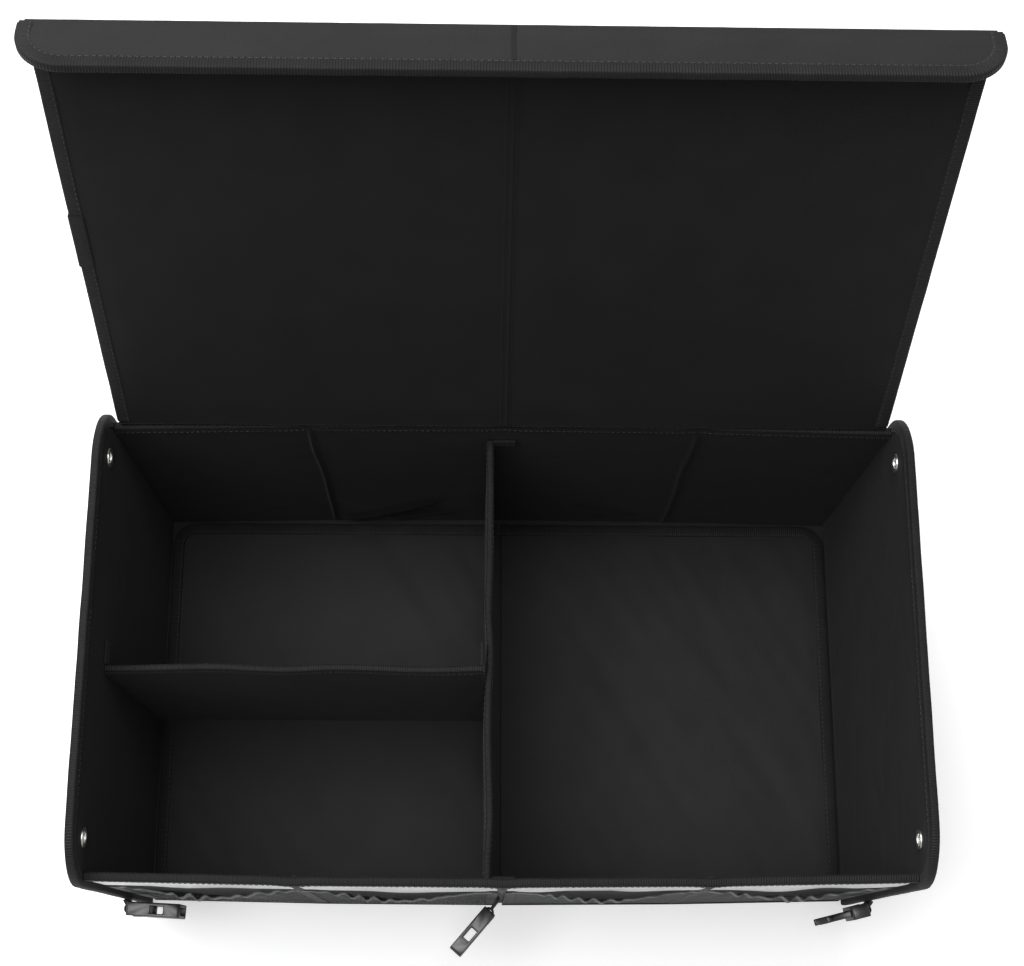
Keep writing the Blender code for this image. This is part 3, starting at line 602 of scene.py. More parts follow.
def stitch_tree():
    """Row of short raised stitches along each path."""
    tree, given = new_tree("stitch_row", [
        ("Spacing", FLOAT), ("Stitch", FLOAT), ("Thread", FLOAT), ("Slant", FLOAT), ("Seed", INTEGER),
        ("Material", MATERIAL)])
    points = add(tree, "GeometryNodeResampleCurve", {"mode": "LENGTH"},
                 {"Curve": given["Geometry"], "Length": given["Spacing"]})
    bead = add(tree, "GeometryNodeMeshUVSphere", None, {"Segments": 6, "Rings": 4, "Radius": 1.0})
    half = math_node(tree, "MULTIPLY", given["Stitch"], 0.5)
    size = add(tree, "ShaderNodeCombineXYZ", None, {"X": given["Thread"], "Y": given["Thread"], "Z": half})
    tangent = add(tree, "GeometryNodeInputTangent")
    turned = add(tree, "FunctionNodeAlignRotationToVector", {"axis": "Z"}, {"Vector": tangent})
    least = math_node(tree, "MULTIPLY", given["Slant"], -1.0)
    slant = add(tree, "FunctionNodeRandomValue", {"data_type": "FLOAT"},
                {"Min": least, "Max": given["Slant"], "Seed": given["Seed"]})
    angles = add(tree, "ShaderNodeCombineXYZ", None, {"X": slant.outputs[1], "Y": slant.outputs[1]})
    tilt = add(tree, "FunctionNodeEulerToRotation", None, {0: angles})
    both = add(tree, "FunctionNodeRotateRotation", {"rotation_space": "LOCAL"},
               {"Rotation": turned, "Rotate By": tilt})
    row = add(tree, "GeometryNodeInstanceOnPoints", None,
              {"Points": points, "Instance": bead, "Rotation": both, "Scale": size})
    end_tree(tree, row, given["Material"])
    return tree


def net_tree():
    """Strand along every edge of a lattice."""
    tree, given = new_tree("knitted_net", [("Strand", FLOAT), ("Sides", INTEGER), ("Material", MATERIAL)])
    lines = add(tree, "GeometryNodeMeshToCurve", None, {"Mesh": given["Geometry"]})
    section = add(tree, "GeometryNodeCurvePrimitiveCircle", {"mode": "RADIUS"},
                  {"Resolution": given["Sides"], "Radius": given["Strand"]})
    end_swept(tree, lines, section, given["Material"])
    return tree


TREES = {}


def grown(thing, kind, **values):
    """Runs a node tree on an object and returns the plain mesh object that it makes."""
    if kind not in TREES:
        TREES[kind] = {"ribbon": ribbon_tree, "stitches": stitch_tree, "net": net_tree}[kind]()
    tree = TREES[kind]
    modifier = thing.modifiers.new(kind, "NODES")
    modifier.node_group = tree
    for socket in tree.interface.items_tree:
        if socket.in_out == "INPUT" and socket.name in values:
            modifier[socket.identifier] = values[socket.name]
    return baked(thing)


RIBBON_CORNER = 0.0016
RIBBON_STEP = 0.003
RIBBON_WAVE = 0.035
STITCH_SLANT = 0.10


def ribbon(name, path, normal, seed, across=PANEL + 2 * RIBBON_SIDE, depth=LEG + EDGE, wobble=0.0009):
    """Folded ribbon along a path, across a panel of the given thickness and depth metres deep."""
    return grown(path_curve(name, [path]), "ribbon", Across=across, Depth=depth,
                 Corner=min(RIBBON_CORNER, 0.4 * across), Step=RIBBON_STEP, Wobble=wobble, Wave=RIBBON_WAVE,
                 Seed=float(seed), Normal=tuple(normal), Material=MATERIALS["binding"])


def stitches(name, paths, seed, body):
    sizes = bpy.context.scene.organizer_sizes
    made = grown(path_curve(name, paths), "stitches", Spacing=sizes.stitch_spacing,
                 Stitch=sizes.stitch_length, Thread=sizes.thread_radius, Slant=STITCH_SLANT, Seed=seed,
                 Material=MATERIALS["thread"])
    return own(made, body, "binding")


MID_RIBBON = (LEG - EDGE) / 2        # from a panel's edge in to the middle of its ribbon
STITCH_IN = LEG - 0.002              # from a panel's edge in to its row of stitches


# Properties

def length(name, description, default, low=0.0, high=0.1):
    return bpy.props.FloatProperty(name=name, description=description, default=default, min=low, max=high,
                                   unit="LENGTH", precision=5)


def colour(name, description, code):
    return bpy.props.FloatVectorProperty(name=name, description=description, subtype="COLOR", size=3, min=0.0,
                                         max=1.0, default=linear(code))


class OrganizerSizes(bpy.types.PropertyGroup):
    thread: length("Thread spacing", "Spacing of the weave, drawn coarse enough to show", 0.0016)
    rib: length("Rib spacing", "Spacing of the edge ribbon's cross ribs", 0.0018)
    stitch_spacing: length("Stitch spacing", "From one stitch to the next", 0.0042)
    stitch_length: length("Stitch length", "Length of one stitch", 0.0030)
    thread_radius: length("Thread radius", "Half of the sewing thread's thickness", 0.00030)
    net_cell: length("Net cell", "Width of one diamond of the pocket net", 0.0040)
    net_strand: length("Net strand", "Half of a strand's thickness", 0.00032)
    pleat: length("Pleat", "Height of the pleat on each wall's fold seams", 0.0030)


class OrganizerColours(bpy.types.PropertyGroup):
    cloth: colour("Outer cloth", "Coated outer cloth", "#1C1C1C")
    lining: colour("Lining", "Lining cloth", "#161616")
    ribbon: colour("Ribbon", "Edge ribbon", "#171717")
    webbing: colour("Webbing", "Buckle webbing", "#1A1A1A")
    net: colour("Net", "Pocket net", "#4E5052")
    thread: colour("Thread", "Sewing thread", "#2B2B2B")
    tape: colour("Reflective tape", "Silver tape", "#F4F5F6")
    moulding: colour("Plastic", "Moulded buckle halves", "#1D1D1D")
    nickel: colour("Nickel", "Eyelets", "#E9E7E3")
    board: colour("Board", "Boards inside the panels", "#3A3633")
    floor: colour("Floor", "Pale studio floor", "#E6E6E6")


# Stage

class ORGANIZER_OT_stage(bpy.types.Operator):
    """Pale floor, soft lights, white surroundings and the camera"""
    bl_idname = "organizer.stage"
    bl_label = "Stage"

    def execute(self, context):
        scene = context.scene
        scene.view_settings.view_transform = "Standard"
        work = bmesh.new()
        bmesh.ops.create_grid(work, x_segments=4, y_segments=4, size=FLOOR_SIZE)
        floor = link("studio_floor", meshed("studio_floor", work))
        floor.data.materials.append(self.floor_material(scene.organizer_colours.floor))
        self.surroundings(scene)
        for box in SOFTBOXES:
            self.lamp(*box)
        self.camera(scene)
        return {"FINISHED"}

    def floor_material(self, colour):
        """Matt floor that glows faintly where it is seen, up to pure white far from the object."""
        made, tree, shader, place = start_material("matt_painted_board", colour, 0.9, Specular_IOR_Level=0.1)
        mottled(tree, shader, place, colour, 0.6, 0.01)
        seen = add(tree, "ShaderNodeLightPath").outputs["Is Camera Ray"]
        away = vector_math(tree, "LENGTH", {0: place}, "Value")
        glow = mapped(tree, away, FLOOR_NEAR, FLOOR_FAR, FLOOR_GLOW, 1.0)
        strength = math_node(tree, "MULTIPLY", seen, glow)
        glow = add(tree, "ShaderNodeEmission", None, {"Color": (1.0, 1.0, 1.0, 1.0), "Strength": strength})
        both = add(tree, "ShaderNodeAddShader", None, {0: shader.outputs[0], 1: glow.outputs[0]})
        tree.links.new(both.outputs[0], tree.nodes["Material Output"].inputs["Surface"])
        return made

    def surroundings(self, scene):
        world = bpy.data.worlds.new("white_room")
        world.use_nodes = True
        scene.world = world
        tree = world.node_tree
        back = tree.nodes["Background"]
        rays = add(tree, "ShaderNodeLightPath").outputs
        seen = math_node(tree, "MAXIMUM", rays["Is Camera Ray"], rays["Is Transmission Ray"])
        back.inputs["Color"].default_value = (1.0, 1.0, 1.0, 1.0)
        mirrored = math_node(tree, "MULTIPLY_ADD", rays["Is Glossy Ray"], ROOM_MIRRORED, ROOM_LIGHT)
        tree.links.new(math_node(tree, "MULTIPLY_ADD", seen, ROOM_SEEN, mirrored), back.inputs["Strength"])

    def lamp(self, name, place, size, power):
        data = bpy.data.lights.new(name, "AREA")
        data.shape = "SQUARE"
        data.size = size
        data.energy = power
        lamp = bpy.data.objects.new(name, data)
        bpy.context.scene.collection.objects.link(lamp)
        lamp.location = place
        lamp.rotation_euler = (LIGHT_AIM - Vector(place)).to_track_quat("-Z", "Y").to_euler()

    def camera(self, scene):
        data = bpy.data.cameras.new("photo_view")
        data.sensor_width = SENSOR_WIDTH
        data.lens = FOCAL_PIXELS / IMAGE_WIDTH * SENSOR_WIDTH
        camera = bpy.data.objects.new("photo_view", data)
        scene.collection.objects.link(camera)
        camera.location = CAMERA_PLACE
        first, second, third = (Matrix.Rotation(math.radians(angle), 3, axis) for angle, axis in CAMERA_TURNS)
        camera.rotation_euler = (first @ second @ third).to_euler()
        scene.camera = camera


# Boards and bottom

class ORGANIZER_OT_boards(bpy.types.Operator):
    """Finish of the frame nodes that stay: the boards inside the panels and the bottom cloth"""
    bl_idname = "organizer.boards"
    bl_label = "Boards and bottom"

    def execute(self, context):
        for name, thing in frame["nodes"].items():
            if "board" in name:
                thing.data.materials.clear()
                thing.data.materials.append(MATERIALS["board"])
        sewn("bottom_sheet", stations(-HALF_WIDTH - PANEL, HALF_WIDTH + PANEL, 0.01),
             lambda s: (-HALF_DEPTH - bow(s) - PANEL, HALF_DEPTH + bow(s) + PANEL),
             lambda s, t, d: Vector((s, t, BOTTOM + d)), level, ("box", "cloth", "bottom_cloth"),
             (2 * (HALF_WIDTH + PANEL), 2 * (HALF_DEPTH + WALL_BOW + PANEL)),
             ["front_sheet_outside", "back_sheet_outside"], thickness=BOTTOM, cell=0.01)
        return {"FINISHED"}


# Front and back walls

def seam_gap(s):
    """From a station to the nearest fold seam of the front or back wall."""
    return min(abs(s - seam) for seam in SEAMS[1:-1])


BOARD_WIDTH = 0.150          # of the front and back walls' boards, from one fold seam to the next
PUFF = 0.0016
OUTER_PLEAT = 0.0026


def front_puff(s, t):
    """How far the front wall's outer cloth stands out: it puffs between its fold seams and pleats at them."""
    share = (s + HALF_WIDTH) % BOARD_WIDTH / BOARD_WIDTH
    rise = ease((WALL_TOP - LEG - t) / 0.030) * ease((t - 0.120) / 0.075)
    puff = PUFF * math.sin(math.pi * share) ** 1.2 * rise * (0.35 + 2.4 * ripple(s, 0.0, 0.045, 117))
    near = seam_gap(s) / 0.0036
    faded = ease((t - POCKET_TOP) / 0.005) * ease((WALL_TOP - 0.0065 - t) / 0.006)
    return max(0.0, puff) + OUTER_PLEAT * math.exp(-near * near) * faded


# Slanting creases of the back wall's lining: start, end, width and height
BACK_CREASES = (((-0.150, 0.004), (-0.046, 0.082), 0.0032, 0.0046),
                ((-0.108, 0.010), (-0.030, 0.048), 0.0030, 0.0026),
                ((0.132, 0.022), (0.060, 0.056), 0.0036, 0.0024))


class ORGANIZER_OT_walls(bpy.types.Operator):
    """Lining and outer cloth of the front and back walls, pleated at their fold seams"""
    bl_idname = "organizer.walls"
    bl_label = "Front and back walls"

    def swell(self, label, inside):
        pleat = bpy.context.scene.organizer_sizes.pleat
        seed = {"front": 3, "back": 11}[label] + (5 if inside else 0)

        def height(s, t):
            edge = drawn_in(min(s + WALL_END, WALL_END - s, t - FOOT, WALL_TOP - t))
            gap = seam_gap(s)
            soft = 0.0010 * drawn_in(gap, 0.03) * (0.6 + ripple(s, t, 0.11, seed))
            small = 0.0004 * ripple(s, t, 0.025, seed + 1)
            if not inside and label == "front":
                return edge * 0.25 * (soft + small) + front_puff(s, t)
            if not inside:
                return edge * (soft + small + 0.0012 * math.exp(-(gap / 0.0018) ** 2))
            folds = 0.0
            for seam in (SEAMS[1], SEAMS[3]):
                lean = 0.003 * ripple(t, seam, 0.09, seed)
                near = (s - seam - lean) / 0.0017
                folds += pleat * math.exp(-near * near)
            if label == "back":
                folds += sum(ridge(s, t, *crease) for crease in BACK_CREASES)
            return edge * (soft + folds + small)
        return height

    def execute(self, context):
        across = set(stations(-WALL_END, WALL_END, 0.0030))
        for seam in SEAMS[1:-1]:
            across.update(stations(seam - 0.0070, seam + 0.0070, 0.0007))
        across = sorted(across)
        for label, side in ENDS:
            for part, out, facing, wear, board in (("inside", 0.0, -1, ("lining", f"{label}_lining"), 2),
                                                   ("outside", PANEL, 1, ("cloth", f"{label}_outer"), 3)):
                sewn(f"{label}_sheet_{part}", across, lambda s: (FOOT, WALL_TOP),
                     lambda s, t, d: Vector((s, side * (HALF_DEPTH + bow(s) + out + facing * d), t)),
                     self.swell(label, part == "inside"), ("box", *wear), (2 * WALL_END, WALL_TOP - FOOT),
                     [f"{label}_board_{board}"])
        return {"FINISHED"}


# Side panels

def corner_reach(s, half, reach, radius):
    """Reach of a panel's cloth at a station across it, where the panel's corners are rounded."""
    over = abs(s) - (half - radius)
    if over > 0:
        return reach - radius + math.sqrt(max(0.0, radius ** 2 - over ** 2))
    return reach


def side_run(s):
    return FOOT, corner_reach(s, SIDE_REACH, SIDE_TOP, SIDE_CORNER)


def eyelet_place(side, y):
    """From a ring round the Z axis to its place in a side panel."""
    middle = Matrix.Translation((side * (HALF_WIDTH + PANEL / 2), y, EYELET_Z))
    return middle @ Matrix.Rotation(math.radians(90), 4, "Y")


class ORGANIZER_OT_side_panels(bpy.types.Operator):
    """Lining and outer cloth of the round-topped side panels, cut for the eyelets"""
    bl_idname = "organizer.side_panels"
    bl_label = "Side panels"

    def swell(self, seed):
        def height(s, t):
            edge = drawn_in(min(SIDE_REACH - abs(s), t - FOOT, side_run(s)[1] - t))
            eyelet = drawn_in(math.hypot(abs(s) - EYELET_Y, t - EYELET_Z) - EYELET_FLANGE, 0.02)
            long_wave = 0.6 + ripple(s, t, 0.13, seed)
            return edge * eyelet * (0.0012 * long_wave + 0.0004 * ripple(s, t * 0.4, 0.03, seed + 2))
        return height

    def execute(self, context):
        across = stations(-SIDE_REACH, SIDE_REACH, 0.004, SIDE_CORNER)
        for label, side in SIDES:
            for part, out, facing, seed, wear in (("inside", 0.0, -1, 20, ("lining", f"{label}_lining")),
                                                  ("outside", PANEL, 1, 24, ("cloth", f"{label}_outer"))):
                made = skin(f"{label}_panel_{part}", across, side_run,
                            lambda s, t, d: Vector((side * (HALF_WIDTH + out + facing * d), s, t)),
                            self.swell(seed + side), cell=0.004)
                made = self.cut(made, side)
                own(made, "box", *wear)
        return {"FINISHED"}

    def cut(self, thing, side):
        """Round holes for the two eyelets."""
        cutters = []
        for y in (-EYELET_Y, EYELET_Y):
            work = bmesh.new()
            radius = EYELET_BORE + EYELET_WALL + 0.0002
            bmesh.ops.create_cone(work, cap_ends=True, segments=32, radius1=radius, radius2=radius,
                                  depth=0.03, matrix=eyelet_place(side, y))
            cutters.append(link("eyelet_cut", meshed("eyelet_cut", work)))
            step = thing.modifiers.new("hole", "BOOLEAN")
            step.operation = "DIFFERENCE"
            step.solver = "EXACT"
            step.object = cutters[-1]
        made = baked(thing)
        for cutter in cutters:
            bpy.data.objects.remove(cutter, do_unlink=True)
        return made


class ORGANIZER_OT_eyelets(bpy.types.Operator):
    """Pressed eyelets with a rolled flange on each face"""
    bl_idname = "organizer.eyelets"
    bl_label = "Eyelets"

    def execute(self, context):
        half = PANEL / 2 + 0.0003
        section = [(EYELET_BORE, 0.0), (EYELET_BORE, half)]
        section += arc(EYELET_BORE + 0.0013, half, 0.0013, 180, 90, 5)[1:]
        section += arc(EYELET_FLANGE - 0.0009, half + 0.0004, 0.0009, 90, 0, 5)
        tube = EYELET_BORE + EYELET_WALL
        section += [(EYELET_FLANGE, half), (tube, half), (tube, 0.0)]
        section += [(r, -h) for r, h in reversed(section[1:-1])]
        for label, side in SIDES:
            for where, end in ENDS:
                made = self.turned(f"ring_{label}_{where}", section)
                made.data.transform(eyelet_place(side, end * EYELET_Y))
                own(made, "box", "nickel", f"eyelet_{label}_{where}")
        return {"FINISHED"}

    def turned(self, name, section):
        work = bmesh.new()
        points = [work.verts.new((r, 0.0, h)) for r, h in section]
        for a, b in zip(points, points[1:] + points[:1]):
            work.edges.new((a, b))
        bmesh.ops.spin(work, geom=work.verts[:] + work.edges[:], cent=(0, 0, 0), axis=(0, 0, 1),
                       angle=math.tau, steps=48, use_merge=True)
        bmesh.ops.remove_doubles(work, verts=work.verts, dist=0.000005)
        bmesh.ops.recalc_face_normals(work, faces=work.faces)
        mesh = meshed(name, work)
        mesh.shade_smooth()
        mesh.set_sharp_from_angle(angle=math.radians(45))
        return link(name, mesh)


# Floor of the box

def base_run(s):
    reach = corner_reach(s, BASE_REACH_X, BASE_REACH_Y, BASE_CORNER)
    return -reach, reach


class ORGANIZER_OT_base_panels(bpy.types.Operator):
    """Cloth-covered base panels with soft slanting wrinkles"""
    bl_idname = "organizer.base_panels"
    bl_label = "Base panels"

    def execute(self, context):
        for label, side in SIDES:
            outer = [BASE_REACH_X - BASE_CORNER * (1 - math.cos(math.radians(9 * i))) for i in range(10)]
            plain = stations(BASE_GAP, BASE_REACH_X - BASE_CORNER, 0.004)
            across = plain + sorted(x for x in outer if x > plain[-1] + 1e-6)
            if side < 0:
                across = [-x for x in reversed(across)]
            seed = 31 + side

            def swell(s, t):
                edge = drawn_in(min(BASE_REACH_X - abs(s), abs(s) - BASE_GAP, BASE_REACH_Y - abs(t)), 0.02)
                slant, cross = (s + 0.6 * t) / 0.020, (t - 0.6 * s) / 0.14
                wrinkle = noise.noise(Vector((slant, cross, seed)))
                return edge * (0.0008 + 0.0014 * ripple(s, t, 0.09, seed) + 0.0009 * wrinkle)

            flat = (BASE_REACH_X - BASE_GAP, 2 * BASE_REACH_Y)
            board = [f"base_{label}_board"]
            sewn(f"base_{label}_top_sheet", across, base_run,
                 lambda s, t, d: Vector((s, t, BASE_TOP + d)), swell,
                 ("box", "cloth", f"base_{label}_cover"), flat, board, cell=0.004)
            sewn(f"base_{label}_under_sheet", across, base_run,
                 lambda s, t, d: Vector((s, t, BASE_TOP - PANEL - d)), level, ("box", "cloth"), flat, board,
                 cell=0.02)
        return {"FINISHED"}


# Dividers

def sway(s, t, top):
    """How far a divider leans aside at a station, most at its top edge."""
    return 0.0008 * math.sin(math.tau * s / 0.130 + 6.0 * ripple(s, 0.0, 0.15, 33)) * (t / top) ** 2


class ORGANIZER_OT_dividers(bpy.types.Operator):
    """Cloth sleeves of the two dividers and their turned end tabs"""
    bl_idname = "organizer.dividers"
    bl_label = "Dividers"

    def sleeve(self, name, span, top, world, seed, node):
        """Both faces of one divider. World takes a station, a height and a distance from its middle."""
        across = stations(*span, 0.004)
        board = node.replace("cover", "board")
        for face, sign in (("a", 1), ("b", -1)):
            def swell(s, t):
                edge = drawn_in(min(s - span[0], span[1] - s, t - DIVIDER_FOOT, top - LEG - t), 0.02)
                return edge * (0.0006 + 0.0009 * ripple(s, t, 0.08, seed)
                               + 0.0003 * ripple(s, t, 0.02, seed + 3))
            sewn(f"{name}_face_{face}", across, lambda s: (DIVIDER_FOOT, top - 0.0006),
                 lambda s, t, d: world(s, t, sign * (PANEL / 2 + d)), swell, ("box", "cloth", node),
                 (span[1] - span[0], top - DIVIDER_FOOT), [board], look="lining", cell=0.004)
            seed += 9

    def tab(self, name, top, world, seed, node):
        """End tab that lies along the wall beside the divider."""
        def swell(s, t):
            free = ease(s / TAB_REACH)
            return 0.0008 * free * (0.5 + ripple(s, t, 0.05, seed))
        rise = top + 0.0004
        sewn(name, stations(-PANEL / 2, TAB_REACH, 0.002), lambda s: (DIVIDER_FOOT, rise), world, swell,
             ("box", "cloth", node), (TAB_REACH + PANEL / 2, rise - DIVIDER_FOOT),
             [node.replace("cover", "board")], look="lining", thickness=TAB, cell=0.005)

    def execute(self, context):
        centre, cross = "centre_divider_cover", "cross_divider_cover"
        self.sleeve("centre_sleeve", (-CENTRE_REACH, CENTRE_REACH), CENTRE_TOP,
                    lambda s, t, d: Vector((CENTRE_X + sway(s, t, CENTRE_TOP) + d, s, t)), 41, centre)
        self.sleeve("cross_sleeve", (CROSS_START, CROSS_END), CROSS_TOP,
                    lambda s, t, d: Vector((s, CROSS_Y + sway(s, t, CROSS_TOP) + d, t)), 57, cross)
        for where, side in ENDS:
            self.tab(f"centre_tab_{where}", CENTRE_TOP,
                     lambda s, t, d: Vector((CENTRE_X + s, side * (CENTRE_REACH - 0.0012 - d + TAB), t)),
                     61 + side, centre)
        self.tab("cross_tab_left", CROSS_TOP,
                 lambda s, t, d: Vector((CROSS_START + 0.0012 + d, CROSS_Y + s, t)), 71, cross)
        self.tab("cross_tab_right", CROSS_TOP,
                 lambda s, t, d: Vector((CROSS_END - 0.0012 - d, CROSS_Y + s, t)), 73, cross)
        return {"FINISHED"}


# Lid and lip

def fold_roll(name, half, world, wear, beside):
    """Roll of cloth round a fold line, which the sheets on both sides of the fold turn about."""
    sewn(name, stations(-half, half, 0.004), lambda s: (0.0, math.tau * 0.96),
         lambda s, t, d: world(s, (ROLL + d) * math.cos(t), (ROLL + d) * math.sin(t)),
         lambda s, t: 0.0001 * ripple(s, t * 0.01, 0.012, 107), wear, (2 * half, 0.0105), [beside],
         held="folded", cell=0.35)


class ORGANIZER_OT_lid(bpy.types.Operator):
    """Cloth of the open lid, its centre tape and the hinge strip on the back wall"""
    bl_idname = "organizer.lid"
    bl_label = "Lid"

    def execute(self, context):
        start, end = FOLD_ROOM, LID_LENGTH - FOLD_ROOM - 0.0004
        across = sorted({*stations(-1.0, 1.0, 0.0125), *stations(-0.020, 0.020, 0.002)})
        for part, sign, slot, node in (("outside", 1, "cloth", "lid_outer"),
                                       ("inside", -1, "lining", "lid_lining")):
            seed = 83 + sign

            def swell(s, t):
                x = s * lid_half(t)
                edge = drawn_in(min(lid_half(t) - abs(x), t - start, end - t, abs(x) + 0.001), 0.022)
                seam = 0.0013 * math.exp(-(x / 0.0018) ** 2) if sign > 0 else 0.0
                return seam + edge * (0.0010 + 0.0008 * ripple(x, t, 0.10, seed)
                                      + 0.0004 * ripple(x, t, 0.03, seed + 1))

            made = sewn(f"lid_sheet_{part}", across, lambda s: (start, end),
                        lambda s, t, d: lid_point(s * lid_half(t), t, sign * (PANEL / 2 + d)), swell,
                        ("lid", slot, node), (2 * LID_HALF_FRONT, end - start), ["lid_board_left"],
                        look="lid_lining" if sign < 0 else None, cell=0.004)
            for loop in made.data.uv_layers["UVMap"].data:
                loop.uv = (loop.uv[0] * LID_HALF_FRONT, loop.uv[1])

        def seam(s, t):
            cord = 0.0013 * math.exp(-((s - 0.0016) / 0.0007) ** 2)
            fold = 0.0007 * math.exp(-((s + 0.0030) / 0.0010) ** 2)
            flattened = ease((0.336 - t) / 0.030)
            return (cord + fold) * flattened + 0.0002 * ripple(s, t, 0.02, 91)

        sewn("lid_seam_tape", stations(-0.0045, 0.0045, 0.0005), lambda s: (start, end),
             lambda s, t, d: lid_point(s, t, -(PANEL / 2 + 0.0005 + d)), seam,
             ("lid", "binding", "lid_centre_tape"), (0.011, end - start), ["lid_sheet_inside"],
             look="lid_lining", thickness=0.0005, cell=0.004)
        self.hinge_cloth()
        return {"FINISHED"}

    def hinge_cloth(self):
        """Doubled strip that rises from the back wall's ribbon and rolls over at the hinge line."""
        made = skin("hinge_cloth", stations(-LID_HALF_BACK, LID_HALF_BACK, 0.004),
                    lambda s: (WALL_TOP + EDGE + 0.0002, HINGE.z - ROLL + 0.0002),
                    lambda s, t, d: Vector((s, HINGE.y + 0.0004 + d + 0.0002 * ripple(s, t, 0.02, 97), t)),
                    level, thickness=0.0008, cell=0.001)
        own(made, "box", "cloth", "hinge_strip")
        fold_roll("hinge_roll", LID_HALF_BACK, lambda s, y, z: HINGE + Vector((s, y, z)),
                  ("box", "cloth", "hinge_strip"), "back_edge_ribbon")


def lip_run(s):
    return FOLD_ROOM, corner_reach(s, LIP_HALF, LIP_REACH, LIP_CORNER)


class ORGANIZER_OT_lip(bpy.types.Operator):
    """Cloth of the folding lip at the lid's far edge, and its rolled fold"""
    bl_idname = "organizer.lip"
    bl_label = "Lip"

    def execute(self, context):
        across = stations(-LIP_HALF, LIP_HALF, 0.004, LIP_CORNER)
        for part, sign in (("outside", 1), ("inside", -1)):
            seed = 101 + sign

            def swell(s, t):
                edge = drawn_in(min(LIP_HALF - abs(s), t - FOLD_ROOM, lip_run(s)[1] - t), 0.014)
                return edge * (0.0008 + 0.0006 * ripple(s, t, 0.06, seed)
                               + 0.0003 * ripple(s * 0.5, t, 0.02, seed))

            sewn(f"lip_sheet_{part}", across, lip_run,
                 lambda s, t, d: lip_point(s, t, sign * (PANEL / 2 + d)), swell,
                 ("lip", "cloth", "lip_cover"), (2 * LIP_HALF, LIP_REACH - FOLD_ROOM), ["lip_board"],
                 cell=0.003)
        fold_roll("lip_fold_roll", LID_HALF_FRONT, lip_point, ("lip", "cloth"), "lip_sheet_outside")
        tape = skin("lip_seam_tape", stations(-0.0017, 0.0017, 0.0005),
                    lambda s: (2 * FOLD_ROOM, LIP_REACH - LEG + 0.001),
                    lambda s, t, d: lip_point(s, t, PANEL / 2 + 0.0010 + d),
                    lambda s, t: 0.0002 * ripple(s, t, 0.01, 109), thickness=0.0009, cell=0.003)
        own(tape, "lip", "binding", look="lid_lining")
        return {"FINISHED"}


# Edge ribbons

def side_edge(inset, x):
    reach, top, radius = SIDE_REACH - inset, SIDE_TOP - inset, SIDE_CORNER - inset
    plan = ([(-reach, FOOT)] + arc(-reach + radius, top - radius, radius, 180, 90)
            + arc(reach - radius, top - radius, radius, 90, 0) + [(reach, FOOT)])
    return [(x, y, z) for y, z in plan]


def base_edge(side, inset, z):
    x1, y1, radius = BASE_REACH_X - inset, BASE_REACH_Y - inset, BASE_CORNER - inset
    plan = ([(BASE_GAP, -y1)] + arc(x1 - radius, -y1 + radius, radius, -90, 0)
            + arc(x1 - radius, y1 - radius, radius, 0, 90) + [(BASE_GAP, y1)])
    return [(side * x, y, z) for x, y in plan]


def lip_edge(inset, height, start=0.004):
    half, reach, radius = LIP_HALF - inset, LIP_REACH - inset, LIP_CORNER - inset
    plan = ([(-half, start)] + [(x, -y) for x, y in arc(-half + radius, -reach + radius, radius, 180, 270)]
            + [(x, -y) for x, y in arc(half - radius, -reach + radius, radius, 270, 360)] + [(half, start)])
    return [tuple(lip_point(x, t, height)) for x, t in plan]


def wall_edge(side, z, offset):
    path = []
    for x in stations(-WALL_END, WALL_END, 0.004):
        near = seam_gap(x) / 0.009
        path.append((x, side * (HALF_DEPTH + bow(x) + offset + 0.0008 * math.exp(-near * near)), z))
    return path


def lid_edge(side, inset, height, start=0.0036, end=LID_LENGTH - 0.0038):
    return [tuple(lid_point(side * (lid_half(start) - inset), start, height)),
            tuple(lid_point(side * (lid_half(end) - inset), end, height))]


FACE = PANEL / 2 + RIBBON_SIDE       # from a panel's middle to its ribbon's face
THIN_FACE = PANEL / 2 + 0.0004       # the same on a divider, whose ribbon is pulled tight
TAB_RIBBON = {"across": 0.0036, "depth": LEG, "wobble": 0.0004}
LAP = (0.160, 0.204)                 # where the ribbon's ends lie over each other on the lid's left edge
X_AXIS, Y_AXIS, Z_AXIS = (1, 0, 0), (0, 1, 0), (0, 0, 1)


